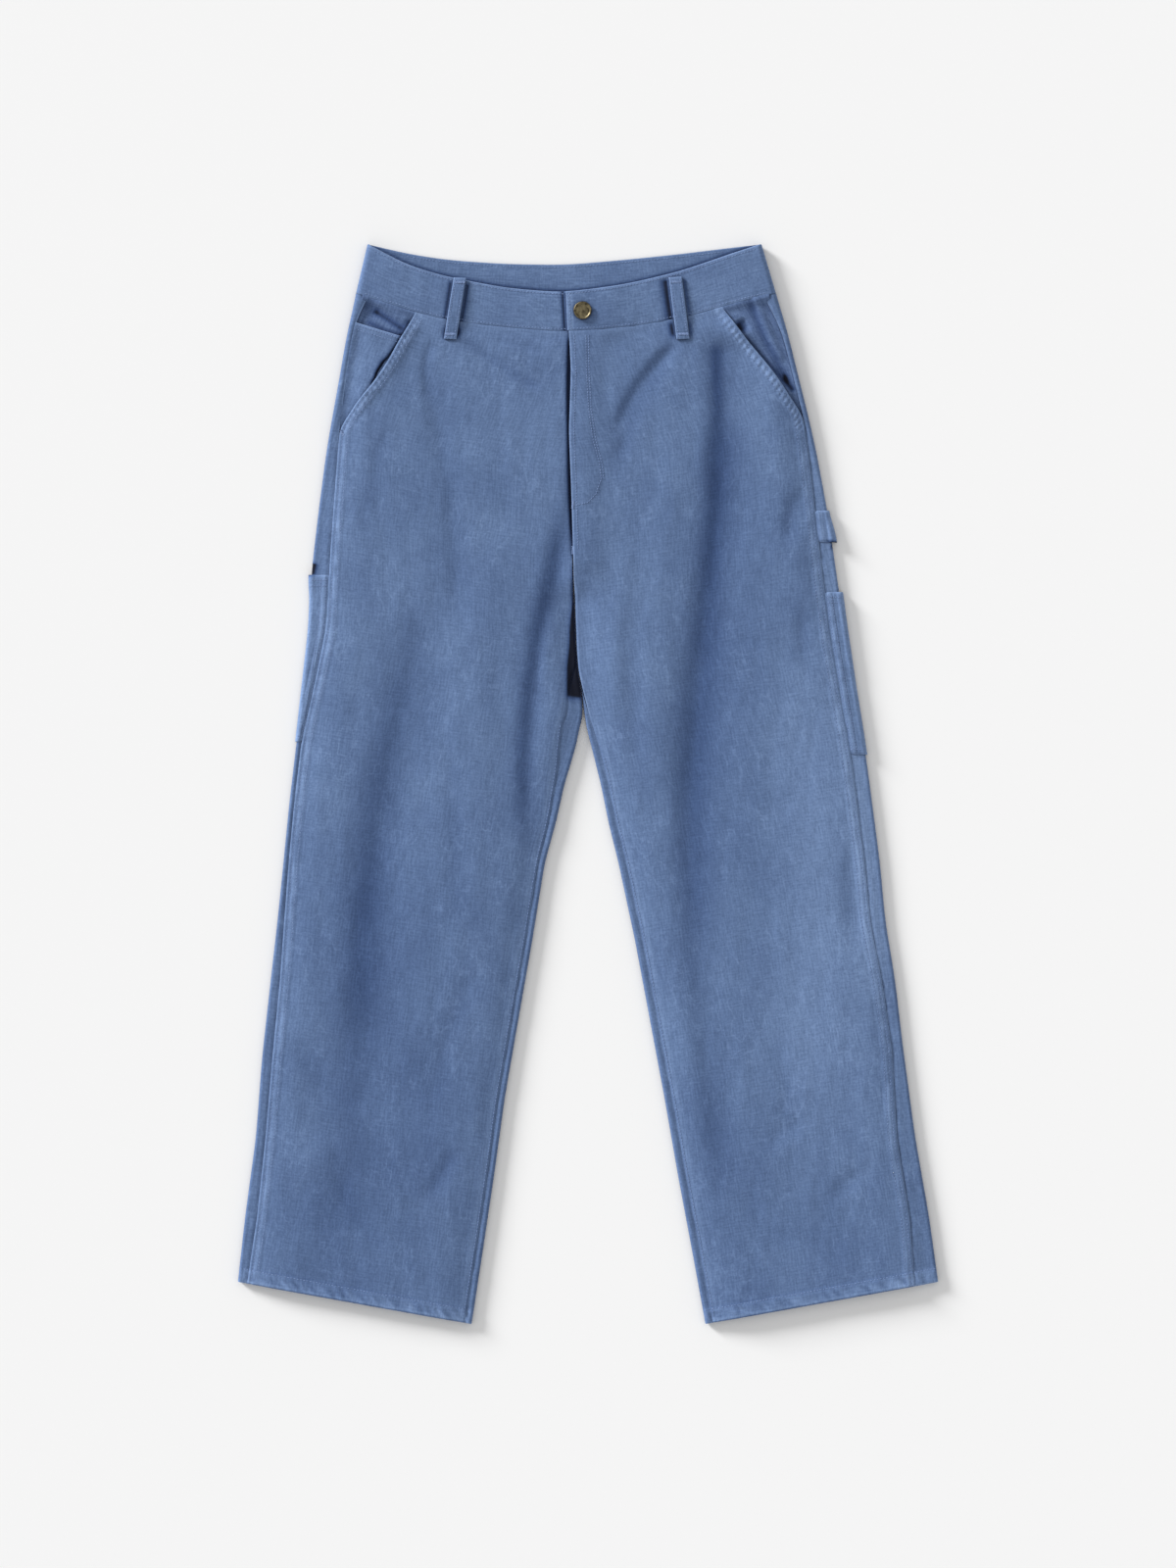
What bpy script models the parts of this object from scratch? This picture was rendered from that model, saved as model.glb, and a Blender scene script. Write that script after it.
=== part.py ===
"""Loose canvas jeans laid face up on a flat surface, at real size.

X runs across the garment, +Y points to the waist and +Z up from the surface.
The origin is on that surface, in the middle of the garment's outline. Tables
are in millimetres; every mesh is made in metres.

Each leg is a flattened ring of cloth. The back panel lies on the surface and
rolls round both edges onto the top; the front panel closes the ring on top.
Above the crotch the two halves meet at the centre seams instead.
"""
import math
from collections import namedtuple

import bmesh
import bpy
import numpy as np

MM = 0.001

# Cloth and seams
CLOTH = 1.2
POCKET_CLOTH = 1.0
BAND_CLOTH = 2.6
HEM_CLOTH = 2.0
HEM_DEPTH = 14.0
SEAM_GAP = 0.35
CREVICE_GAP = 1.0
LIFT = 0.4

# Main sizes
WAIST_Y = 487.0
HEM_Y = -494.8
HEM_DROP = 42.0
ROW_INSET = 0.6
FRONT_WAIST_DROP = 38.5
BACK_WAIST_DROP = 11.0
EDGE_RADIUS = 3.0
BAND_RADIUS = 5.0
CROTCH_TOP = 207.0
CROTCH_LOW = 177.0

# Fly
FLY_LAP = 8.0
FLY_RAISE = 2.0
BAND_RAISE = 3.0
FLY_BOTTOM = 225.0
FLY_EASE = 27.0

# Pockets, loops and button
MOUTH_LIFT_LEFT = 1.6
MOUTH_LIFT_RIGHT = 2.4
FACING_UNDER = 12.0
FACING_LOW = 346.0
COIN_TOP, COIN_LOW = 457.0, 354.0
SIDE_POCKET_LEFT = (208.0, 42.0)
SIDE_POCKET_RIGHT = (191.0, 29.0)
SIDE_POCKET_ON_TOP = {"left": 15.0, "right": 19.0}
HAMMER_LOOP = (272.0, 240.0)
HAMMER_LOOP_ON_TOP = 11.0
LOOP_CLOTH = 1.8
LOOP_STAND = 1.1
BUTTON_X, BUTTON_Y = -5.4, 469.7
BUTTON_PROFILE = (
    (0.0, 3.0), (3.4, 2.9), (6.2, 2.3), (7.2, 2.2), (8.0, 2.9), (8.6, 2.7), (8.9, 2.0),
    (8.5, 1.1), (6.0, 0.6), (4.6, 0.0), (0.0, 0.0),
)

BUTTON_CLEARANCE = 0.3
LAP_FADE = 30.0

# How the shape settles: shares of the way down, and reaches in mm
ROW_SETTLE = 0.30
SWELL_REACH = 20.0
SWELL_START = 8.0
EDGE_FOLD_SHARE = 0.35
FLY_FADE = 18.0
MOUTH_REACH = 12.0

# Hip pieces and the strips wrapped round the outer edges
FACING_TUCK = 0.65
FACING_BELOW_TOP = CLOTH + 0.4
COIN_FROM_SEAM = 1.2
COIN_UNDER = 6.0
STRIP_UNDER = 0.36

# Waistband: shares across of its upper and under ends, and the rise of its front
BAND_LAP_SHARE, BAND_UNDER_SHARE = 0.504, 0.585
BAND_RISE = 0.6
BAND_SIDE_REACH = 1.0 / 30.0

# Resolution
LEG_ROWS = 28
FRONT_COLUMNS = 20
FOLD_CROWD = 0.55
ROLL_STEPS = 3
ARC_STEPS = 6
FLOOR_STEPS = 4
INNER_STEPS = 7
FACING_ROWS, FACING_COLUMNS = 9, 8
COIN_ROWS, COIN_COLUMNS = 6, 7
STRIP_ROWS, STRIP_FLAT_COLUMNS, STRIP_TURN_COLUMNS = 8, 4, 8
BAND_ROWS, BAND_FRONT_COLUMNS, BAND_BACK_COLUMNS, BAND_TURN_STEPS = 4, 14, 13, 7
LOOP_STEPS = 10
BUTTON_STEPS = 24

# Where rows of the legs lie closer together: share of the way down, how much
# closer, and over what share.
Crowd = namedtuple("Crowd", "place extra reach")
ROW_CROWDS = (Crowd(0.0, 0.8, 0.05), Crowd(0.262, 2.2, 0.030), Crowd(1.0, 1.6, 0.020))

# Outer edge of each leg: height y, distance out from the centre line, how far
# in the back panel and the front panel end on top, and the edge's radius.
Outer = namedtuple("Outer", "y out back front radius")
LEFT_OUTER = (
    Outer(487.0, 230.8, 8.6, 60.4, 4.6),
    Outer(468.0, 235.1, 6.6, 54.4, 4.45),
    Outer(448.0, 239.6, 5.8, 48.0, 4.3),
    Outer(405.0, 247.0, 7.0, 34.0, 4.0),
    Outer(354.0, 256.2, 9.2, 10.0, 3.6),
    Outer(331.0, 260.1, 11.5, 11.9, 3.3),
    Outer(273.0, 267.8, 14.8, 15.2, 3.0),
    Outer(214.0, 274.7, 17.6, 18.0, 3.0),
    Outer(156.0, 276.8, 16.6, 17.0, 3.0),
    Outer(97.0, 283.6, 11.0, 11.4, 3.0),
    Outer(43.0, 289.7, 5.2, 5.6, 3.0),
    Outer(-19.0, 297.1, 5.2, 5.6, 3.0),
    Outer(-78.0, 302.9, 5.5, 5.9, 3.0),
    Outer(-136.0, 308.8, 7.0, 7.4, 3.0),
    Outer(-195.0, 315.6, 9.5, 9.9, 3.0),
    Outer(-273.0, 324.3, 10.5, 10.9, 3.0),
    Outer(-351.0, 330.2, 9.8, 10.2, 3.0),
    Outer(-429.0, 340.9, 12.0, 12.4, 3.0),
    Outer(-494.8, 348.2, 9.6, 10.0, 3.0),
)
RIGHT_OUTER = (
    Outer(487.0, 187.0, 5.8, 54.5, 4.6),
    Outer(448.0, 198.7, 5.6, 41.0, 4.3),
    Outer(420.0, 205.5, 5.4, 28.0, 4.1),
    Outer(366.0, 219.0, 5.2, 6.0, 3.7),
    Outer(331.0, 226.9, 8.0, 8.4, 3.3),
    Outer(273.0, 237.7, 11.9, 12.3, 3.0),
    Outer(214.0, 246.4, 13.8, 14.2, 3.0),
    Outer(195.0, 249.0, 14.0, 14.4, 3.0),
    Outer(156.0, 254.6, 14.5, 14.9, 3.0),
    Outer(97.0, 264.5, 15.0, 15.4, 3.0),
    Outer(58.0, 271.5, 15.0, 15.4, 3.0),
    Outer(19.0, 277.6, 15.0, 15.4, 3.0),
    Outer(-78.0, 290.3, 15.1, 15.5, 3.0),
    Outer(-136.0, 295.1, 15.0, 15.4, 3.0),
    Outer(-195.0, 305.8, 13.0, 13.4, 3.0),
    Outer(-260.0, 313.0, 11.2, 11.6, 3.0),
    Outer(-351.0, 325.3, 18.1, 18.5, 3.0),
    Outer(-429.0, 339.0, 19.0, 19.4, 3.0),
    Outer(-494.8, 348.2, 23.5, 23.9, 3.0),
)

# Inner edge: height y, distance out from the centre line, and how much cloth
# of the back panel shows round the edge, from its middle up to the inseam.
Inner = namedtuple("Inner", "y out wrap")
LEFT_INNER = (
    Inner(449.0, 19.7, 0.0),
    Inner(409.0, 17.7, 0.0),
    Inner(350.0, 19.7, 0.0),
    Inner(286.0, 17.2, 0.0),
    Inner(205.0, 14.8, 0.0),
    Inner(175.0, 13.5, 0.0),
    Inner(136.0, 12.1, 1.0),
    Inner(111.0, 10.1, 6.0),
    Inner(97.0, 7.3, 14.0),
    Inner(78.0, 5.5, 17.0),
    Inner(58.0, 8.2, 19.5),
    Inner(39.0, 11.7, 18.5),
    Inner(19.0, 17.5, 14.0),
    Inner(0.0, 23.4, 11.0),
    Inner(-39.0, 32.1, 9.0),
    Inner(-78.0, 42.9, 8.4),
    Inner(-156.0, 55.5, 8.4),
    Inner(-234.0, 69.2, 8.4),
    Inner(-312.0, 82.8, 8.4),
    Inner(-390.0, 93.5, 8.4),
    Inner(-468.0, 105.2, 8.6),
    Inner(-538.0, 115.9, 8.8),
)
RIGHT_INNER = (
    Inner(449.0, -19.3, 0.0),
    Inner(409.0, -17.3, 0.0),
    Inner(350.0, -19.3, 0.0),
    Inner(286.0, -16.8, 0.0),
    Inner(205.0, -14.4, 0.0),
    Inner(175.0, -13.1, 0.0),
    Inner(136.0, -11.7, 0.5),
    Inner(111.0, -9.7, 1.0),
    Inner(97.0, -6.8, 2.0),
    Inner(78.0, -4.9, 5.0),
    Inner(58.0, -1.9, 8.0),
    Inner(39.0, 2.9, 9.5),
    Inner(0.0, 12.7, 9.5),
    Inner(-39.0, 20.5, 9.5),
    Inner(-78.0, 30.2, 9.5),
    Inner(-156.0, 46.8, 9.5),
    Inner(-234.0, 61.4, 9.5),
    Inner(-312.0, 76.0, 9.5),
    Inner(-390.0, 89.6, 9.5),
    Inner(-468.0, 104.2, 9.5),
    Inner(-538.0, 116.9, 9.5),
)

# Waistband edges: share of the way from left tip to right tip, and the heights
# of its upper and lower edges in front and behind.
Band = namedtuple("Band", "share front_top front_low back_top back_low")
BAND = (
    Band(0.00, 536.8, 487.0, 536.8, 487.0),
    Band(0.10, 515.5, 473.5, 527.5, 483.5),
    Band(0.20, 504.0, 461.5, 521.3, 480.0),
    Band(0.35, 492.8, 453.0, 517.2, 477.0),
    Band(0.50, 488.0, 448.5, 516.3, 476.0),
    Band(0.65, 495.8, 453.0, 521.3, 478.0),
    Band(0.80, 510.0, 464.5, 527.4, 481.5),
    Band(0.90, 524.0, 477.0, 532.3, 484.5),
    Band(1.00, 536.8, 487.0, 536.8, 487.0),
)
BAND_TOP_LEFT, BAND_TOP_RIGHT = -219.2, 172.4
BAND_LOW_LEFT, BAND_LOW_RIGHT = -230.8, 187.0

# How far the top swells above its edges, by height y.
Loft = namedtuple("Loft", "y rise")
LOFT = (
    Loft(487.0, 1.2),
    Loft(440.0, 3.2),
    Loft(350.0, 5.4),
    Loft(205.0, 5.2),
    Loft(60.0, 4.8),
    Loft(-150.0, 4.2),
    Loft(-350.0, 3.4),
    Loft(-460.0, 3.2),
    Loft(-540.0, 3.8),
)

# Folds and swells: which half they are on, their size (below zero is a trough),
# half-widths toward -X and +X, fade length at each end, and their route down
# the garment as (y, x) points.
Fold = namedtuple("Fold", "half size left right fade route")
FOLDS = (
    Fold("left", -1.6, 9, 12, 40,
         ((430, -174), (390, -158), (346, -148), (302, -138), (263, -131), (200, -136))),
    Fold("left", -4.6, 10, 15, 80,
         ((175, -160), (97, -180), (39, -195), (-68, -219), (-195, -227), (-300, -225))),
    Fold("left", -4.2, 7, 8, 60,
         ((340, -23), (282, -27), (214, -34), (166, -44), (117, -56), (10, -67), (-100, -54))),
    Fold("left", 1.8, 24, 30, 90,
         ((250, -90), (100, -112), (-60, -118), (-180, -120))),
    Fold("left", -1.0, 10, 12, 50,
         ((60, -136), (-40, -130), (-140, -131))),
    Fold("left", -1.3, 5, 6, 14,
         ((450, -130), (414, -78), (386, -44))),
    Fold("left", -1.4, 8, 9, 16,
         ((-350, -120), (-380, -141), (-418, -167))),
    Fold("left", 1.2, 30, 24, 50,
         ((-340, -270), (-420, -280), (-500, -290))),
    Fold("right", -6.4, 10, 14, 26,
         ((456, 132), (360, 131), (292, 127), (224, 117), (146, 105), (68, 101))),
    Fold("right", -4.8, 10, 13, 60,
         ((120, 104), (40, 101), (-78, 99), (-146, 106), (-220, 121))),
    Fold("right", -1.6, 10, 12, 70,
         ((-190, 117), (-263, 127), (-321, 131), (-390, 137))),
    Fold("right", 1.8, 16, 22, 90,
         ((430, 160), (280, 158), (100, 138), (-60, 134))),
    Fold("right", 1.4, 20, 16, 90,
         ((400, 98), (280, 96), (120, 76), (-60, 74))),
    Fold("right", -1.0, 6, 8, 25,
         ((175, 142), (90, 142))),
    Fold("right", -2.2, 9, 8, 22,
         ((318, 207), (280, 200), (240, 192))),
    Fold("right", -1.3, 9, 9, 30,
         ((200, 212), (150, 215), (100, 217))),
    Fold("right", -1.5, 10, 10, 40,
         ((-40, 250), (-100, 256), (-170, 259))),
    Fold("right", -1.5, 5, 7, 16,
         ((452, 92), (419, 52), (372, 16))),
    Fold("right", -1.3, 9, 9, 16,
         ((-322, 226), (-345, 200), (-372, 170))),
)


def column(table, name):
    """One column of a table, in rising order of its first column."""
    rows = sorted(table, key=lambda row: row[0])
    return [row[0] for row in rows], [getattr(row, name) for row in rows]


def look_up(table, name, at):
    return float(np.interp(at, *column(table, name)))


def smooth(low, high, value):
    """0 below low, 1 above high, with a soft step between."""
    share = min(1.0, max(0.0, (value - low) / (high - low)))
    return share * share * (3.0 - 2.0 * share)


def row_shares():
    """Shares of the way down for the rows, closer together round the crotch and at the hem."""
    steps = np.linspace(0.0, 1.0, 400)
    crowd = np.ones_like(steps)
    for spot in ROW_CROWDS:
        crowd += spot.extra * np.exp(-((steps - spot.place) / spot.reach) ** 2)
    total = np.cumsum(crowd) - crowd[0]
    shares = list(np.interp(np.linspace(0.0, total[-1], LEG_ROWS + 1), total, steps))
    shares[-2] = 1.0 - HEM_DEPTH / (WAIST_Y - HEM_Y)
    return shares


class Half:
    """One leg with its half of the hips; `side` is -1 on the left of the sheet."""

    def __init__(self, name, side, outer, inner):
        self.name = name
        self.side = side
        self.outer = outer
        self.inner = inner
        self.folds = [fold for fold in FOLDS if fold.half == name]
        top = WAIST_Y - ROW_INSET
        self.rows = [top - (top - HEM_Y) * share for share in row_shares()][::-1]
        self.row_out = [look_up(outer, "out", y) for y in self.rows]
        self.row_radius = [look_up(outer, "radius", y) for y in self.rows]

    def out(self, y):
        """Distance of the outer edge from the centre line, straight between the panel's rows."""
        return float(np.interp(y, self.rows, self.row_out))

    def radius(self, y):
        return float(np.interp(y, self.rows, self.row_radius))


LEFT = Half("left", -1, LEFT_OUTER, LEFT_INNER)
RIGHT = Half("right", 1, RIGHT_OUTER, RIGHT_INNER)


def roll_share(y):
    """0 where the halves meet flat at the centre, 1 where each leg is closed."""
    return 1.0 - smooth(CROTCH_LOW, CROTCH_TOP, y)


def swell(inset):
    """Rise of the cloth with distance in from a rounded edge."""
    return 1.0 - math.exp(-(max(0.0, inset) / SWELL_REACH) ** 2)


def fold_height(half, x, y):
    """Sum of the folds at a point; each one fades out at its two ends."""
    total = 0.0
    for fold in half.folds:
        top, bottom = fold.route[0][0], fold.route[-1][0]
        along = smooth(bottom, bottom + fold.fade, y) * (1.0 - smooth(top - fold.fade, top, y))
        if along > 0.0:
            ys, xs = zip(*reversed(fold.route))
            off = x - float(np.interp(y, ys, xs))
            width = fold.left if off < 0.0 else fold.right
            total += fold.size * along * math.exp(-(off / width) ** 2)
    return total


def top_height(half, x, y):
    """Height of the garment's upper surface above the floor."""
    across = half.side * x
    radius = half.radius(y)
    from_outer = half.out(y) - across - radius
    from_inner = across - look_up(half.inner, "out", y) - EDGE_RADIUS
    closed = roll_share(y)
    shape = swell(from_outer) * (1.0 - closed * (1.0 - swell(from_inner)))
    nearest = min(from_outer, from_inner) if closed > 0.5 else from_outer
    fold_shape = shape + (1.0 - shape) * EDGE_FOLD_SHARE * smooth(0.0, SWELL_START, nearest)
    height = 2.0 * radius + shape * look_up(LOFT, "rise", y) + fold_shape * fold_height(half, x, y)
    return max(height, 3.0 * CLOTH) + fly_raise(half, x, y)


def fly_raise(half, x, y):
    """The right half laps over the left one at the fly."""
    if half is LEFT:
        return 0.0
    past_lap = max(0.0, x + look_up(LEFT_INNER, "out", y) - FLY_LAP - 4.0)
    opened = smooth(FLY_BOTTOM - 23.0, FLY_BOTTOM - 3.0, y)
    return FLY_RAISE * opened * math.exp(-(past_lap / FLY_FADE) ** 2)


def outer_turn(half, y, arc, lift=0.0):
    """A point on the rounded outer edge, `arc` mm up from its middle, moved out by `lift`."""
    radius = half.radius(y)
    quarter = radius * math.pi / 2.0
    if abs(arc) <= quarter:
        angle = arc / radius
        inset = radius - (radius + lift) * math.cos(angle)
        z = radius + (radius + lift) * math.sin(angle)
    else:
        inset = radius + abs(arc) - quarter
        x = half.side * (half.out(y) - inset)
        z = top_height(half, x, y) + lift if arc > 0.0 else -lift
    return half.side * (half.out(y) - inset), y, z


def bent_strip(arc, bend):
    """Inset and drop of a point `arc` mm from the end of an edge strip that turns down by `bend`."""
    quarter = EDGE_RADIUS * math.pi / 2.0
    if bend < 1e-4:
        return arc, 0.0
    tight = quarter / bend
    if arc >= quarter:
        return tight * math.sin(bend) + arc - quarter, 0.0
    turned = bend * (quarter - arc) / quarter
    return tight * (math.sin(bend) - math.sin(turned)), tight * (1.0 - math.cos(turned))


def inner_turn(half, y, arc):
    """A point of the inner edge, `arc` mm up (or, below zero, down) from its middle."""
    inset, drop = bent_strip(abs(arc), roll_share(y) * math.pi / 2.0)
    x = half.side * (look_up(half.inner, "out", y) + inset)
    z = top_height(half, x, y) - drop if arc > 0.0 else drop
    return x, z


class Row:
    """One line across a half, from its outer edge to its inner edge or the centre seam."""

    def __init__(self, half, share, face):
        self.half = half
        low = "front_low" if face == "front" else "back_low"
        waist_drop = FRONT_WAIST_DROP if face == "front" else BACK_WAIST_DROP
        settle = smooth(0.0, ROW_SETTLE, share)
        drop = waist_drop + (HEM_DROP - waist_drop) * settle
        self.y_outer = WAIST_Y - ROW_INSET + (HEM_Y - WAIST_Y + ROW_INSET) * share
        self.y_inner = self.y_outer - drop
        self.x_outer = half.side * half.out(self.y_outer)
        self.x_inner = half.side * look_up(half.inner, "out", self.y_inner)
        self.low = low
        self.curve = 1.0 - settle
        self.waist_drop = waist_drop

    def y(self, x):
        """Height of the row at x; near the waist it follows the waistband's curve."""
        share = (x - self.x_outer) / (self.x_inner - self.x_outer)
        straight = self.y_outer + (self.y_inner - self.y_outer) * share
        across = (x - BAND_LOW_LEFT) / (BAND_LOW_RIGHT - BAND_LOW_LEFT)
        waist_line = WAIST_Y - self.waist_drop * share
        return straight + self.curve * (look_up(BAND, self.low, across) - waist_line)


def gathered(start, end, steps, weight):
    """Positions from start to end, closer together where `weight` is large."""
    samples = np.linspace(start, end, 120)
    crowd = np.array([1.0 + weight(sample) for sample in samples])
    total = np.concatenate(([0.0], np.cumsum((crowd[1:] + crowd[:-1]) / 2.0)))
    return np.interp(np.linspace(0.0, total[-1], steps + 1), total, samples)


def inseam(half, y):
    """Where the inseam lies round the inner edge, and half the gap there."""
    wrap = look_up(half.inner, "wrap", y)
    gap = SEAM_GAP + (CREVICE_GAP - SEAM_GAP) * (1.0 - smooth(4.0, 8.0, wrap))
    return wrap, gap / 2.0


def front_tail(half, row):
    """The front panel's last stretch: rolled round the inner edge, or lapping under at the fly."""
    wrap, gap = inseam(half, row.y_inner)
    quarter = EDGE_RADIUS * math.pi / 2.0
    back_from_end = [quarter * (1.0 - step / ROLL_STEPS) for step in range(ROLL_STEPS + 1)]
    lap = FLY_LAP * smooth(FLY_BOTTOM, FLY_BOTTOM + FLY_EASE, row.y_inner) if half is LEFT else 0.0
    if lap > 0.0:
        ends = [row.x_inner + lap - back for back in back_from_end]
        return [(x, top_height(half, x, row.y(x))) for x in ends]
    return [inner_turn(half, row.y_inner, wrap + gap + back) for back in back_from_end]


def front_points(half, row):
    """Points of the front panel along a row, from the outseam or pocket edge inward."""
    start = row.x_outer - half.side * look_up(half.outer, "front", row.y_outer)
    tail = front_tail(half, row)

    def weight(x):
        return FOLD_CROWD * abs(fold_height(half, x, row.y(x)))

    points = []
    for x in gathered(start, tail[0][0], FRONT_COLUMNS, weight)[:-1]:
        y = row.y(x)
        points.append((x, y, top_height(half, x, y) + mouth_lift(half, x, row)))
    for x, z in tail:
        points.append((x, row.y(x), z))
    return points


def mouth_lift(half, x, row):
    """The pocket's front edge stands a little off the cloth under it."""
    edge = row.x_outer - half.side * look_up(half.outer, "front", row.y_outer)
    most = MOUTH_LIFT_LEFT if half is LEFT else MOUTH_LIFT_RIGHT
    window = smooth(360.0, 400.0, row.y_outer) * (1.0 - 0.8 * smooth(470.0, 486.0, row.y_outer))
    return most * window * math.exp(-((x - edge) / MOUTH_REACH) ** 2)


def back_points(half, row, top_row):
    """Points of the back panel along a row: outseam, outer edge, floor, inner edge, inseam.

    What rolls onto the top follows the front panel's row there.
    """
    y_outer = row.y_outer
    radius = half.radius(y_outer)
    quarter = radius * math.pi / 2.0
    strip = look_up(half.outer, "back", y_outer) - radius
    points = []
    for arc in (quarter + strip, quarter + strip * 0.5):
        x, _, z = outer_turn(half, y_outer, arc)
        points.append((x, top_row.y(x), z))
    for step in range(ARC_STEPS + 1):
        arc = quarter * (1.0 - 2.0 * step / ARC_STEPS)
        x, _, z = outer_turn(half, y_outer, arc)
        line = top_row if arc > 0.0 else row
        points.append((x, line.y(x), 0.0 if step == ARC_STEPS else z))

    inner_quarter = EDGE_RADIUS * math.pi / 2.0
    wrap, gap = inseam(half, row.y_inner)
    arcs = inner_arcs(wrap - gap, inner_quarter)
    inner = [inner_turn(half, row.y_inner, arc) for arc in arcs]
    inner[0] = (inner[0][0], 0.0)
    for step in range(1, FLOOR_STEPS):
        x = points[-1][0] + (inner[0][0] - points[-1][0]) / (FLOOR_STEPS - step + 1)
        points.append((x, row.y(x), 0.0))
    for x, z in inner:
        points.append((x, row.y(x), z))
    return points


def inner_arcs(wrap, quarter):
    """Arc positions round the inner edge, spread evenly at the crotch and by the curve below it."""
    even = [-quarter + (quarter + wrap) * step / INNER_STEPS for step in range(INNER_STEPS + 1)]
    curved = [-quarter + 2.0 * quarter * step / (INNER_STEPS - 2) for step in range(INNER_STEPS - 1)]
    curved += [quarter + (wrap - quarter) * 0.5, wrap]
    share = smooth(0.0, 1.4 * quarter, wrap)
    return [a + (b - a) * share for a, b in zip(even, curved)]


def linear(hex_colour):
    """sRGB hex to the linear values that a shader takes."""
    channels = [int(hex_colour[i:i + 2], 16) / 255.0 for i in (1, 3, 5)]
    return [c / 12.92 if c <= 0.04045 else ((c + 0.055) / 1.055) ** 2.4 for c in channels] + [1.0]


def material(name, hex_colour, roughness, metallic=0.0):
    made = bpy.data.materials.new(name)
    made.use_nodes = True
    shader = made.node_tree.nodes["Principled BSDF"]
    shader.inputs["Base Color"].default_value = linear(hex_colour)
    shader.inputs["Roughness"].default_value = roughness
    shader.inputs["Metallic"].default_value = metallic
    return made


def sheet(name, lines, thickness, colour, flip=False, thin_share=None):
    """A cloth panel: a grid moved onto `lines` of points, thickened inward.

    thin_share(line) gives each line's share of the thickness.
    """
    rows, columns = len(lines) - 1, len(lines[0]) - 1
    mesh = bpy.data.meshes.new(name)
    shape = bmesh.new()
    bmesh.ops.create_grid(shape, x_segments=columns, y_segments=rows, size=1.0)
    weights = shape.verts.layers.deform.new() if thin_share else None
    for vertex in shape.verts:
        i = round((vertex.co.x + 1.0) / 2.0 * columns)
        j = round((vertex.co.y + 1.0) / 2.0 * rows)
        vertex.co = [value * MM for value in lines[j][i]]
        if thin_share:
            vertex[weights][0] = thin_share(j)
    if flip:
        bmesh.ops.reverse_faces(shape, faces=shape.faces)
    shape.to_mesh(mesh)
    shape.free()
    mesh.shade_smooth()
    made = bpy.data.objects.new(name, mesh)
    mesh.materials.append(colour)
    garment.objects.link(made)
    wall = made.modifiers.new("wall", "SOLIDIFY")
    wall.thickness = thickness * MM
    wall.offset = -1.0
    wall.use_even_offset = True
    wall.thickness_clamp = 0.0
    if thin_share:
        made.vertex_groups.new(name="wall")
        wall.vertex_group = "wall"
    return made


def leg_panel(half, face, name, colour):
    lines = []
    for share in row_shares():
        front_row = Row(half, share, "front")
        if face == "front":
            lines.append(front_points(half, front_row))
        else:
            lines.append(back_points(half, Row(half, share, "back"), front_row))
    outward = half.side < 0 if face == "front" else half.side > 0

    def hem_share(line):
        return 1.0 if line >= LEG_ROWS - 1 else CLOTH / HEM_CLOTH

    return sheet(name, lines, HEM_CLOTH, colour, flip=outward, thin_share=hem_share)


def pocket_facing(half, name, colour):
    """The hip piece seen in the pocket mouth, running in under the front panel."""
    lines = []
    for y in np.linspace(WAIST_Y - 1.6, FACING_LOW, FACING_ROWS):
        share = (WAIST_Y - y) / (WAIST_Y - HEM_Y)
        row = Row(half, share, "front")
        start = look_up(half.outer, "back", y) - FACING_TUCK
        end = look_up(half.outer, "front", y) + FACING_UNDER
        line = []
        for inset in np.linspace(start, end, FACING_COLUMNS):
            x = row.x_outer - half.side * inset
            height = top_height(half, x, row.y(x))
            line.append((x, row.y(x), height - facing_depth(half, inset)))
        lines.append(line)
    return sheet(name, lines, POCKET_CLOTH, colour, flip=half.side < 0)


def facing_depth(half, inset):
    """How far the facing lies below the garment's upper surface."""
    deep = 3.2 if half is LEFT else 2.2
    return FACING_BELOW_TOP + (deep - FACING_BELOW_TOP) * smooth(5.0, 14.0, inset)


def coin_pocket(half, name, colour):
    """A small patch on the left facing, open along its sloping upper edge."""
    lines = []
    for y in np.linspace(COIN_TOP, COIN_LOW, COIN_ROWS):
        share = (WAIST_Y - y) / (WAIST_Y - HEM_Y)
        row = Row(half, share, "front")
        start = look_up(half.outer, "back", y) + COIN_FROM_SEAM
        end = look_up(half.outer, "front", y) + COIN_UNDER
        line = []
        for inset in np.linspace(start, end, COIN_COLUMNS):
            x = row.x_outer - half.side * inset
            height = top_height(half, x, row.y(x)) - facing_depth(half, inset)
            line.append((x, row.y(x), height + SEAM_GAP + POCKET_CLOTH))
        lines.append(line)
    return sheet(name, lines, POCKET_CLOTH, colour, flip=half.side < 0)


def edge_strip(name, half, span, on_top, bulge, colour):
    """A strip wrapped round the outer edge between two heights, reaching `on_top` mm onto the top.

    bulge(y) is how far it stands off at the edge's middle.
    """
    lines = []
    for y in np.linspace(span[0], span[1], STRIP_ROWS):
        radius = half.radius(y)
        quarter = radius * math.pi / 2.0
        first = quarter + on_top - radius
        last = -radius * math.asin(STRIP_UNDER)
        line = []
        flat = list(np.linspace(first, quarter, STRIP_FLAT_COLUMNS))
        turn = list(np.linspace(quarter, last, STRIP_TURN_COLUMNS))[1:]
        for arc in flat + turn:
            out = math.cos(min(math.pi / 2.0, abs(arc) / radius)) if arc < quarter else 0.0
            lift = LIFT + CLOTH + bulge(y) * max(0.0, out)
            line.append(outer_turn(half, y, arc, lift))
        lines.append(line)
    return sheet(name, lines, CLOTH, colour, flip=half.side > 0)


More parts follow.
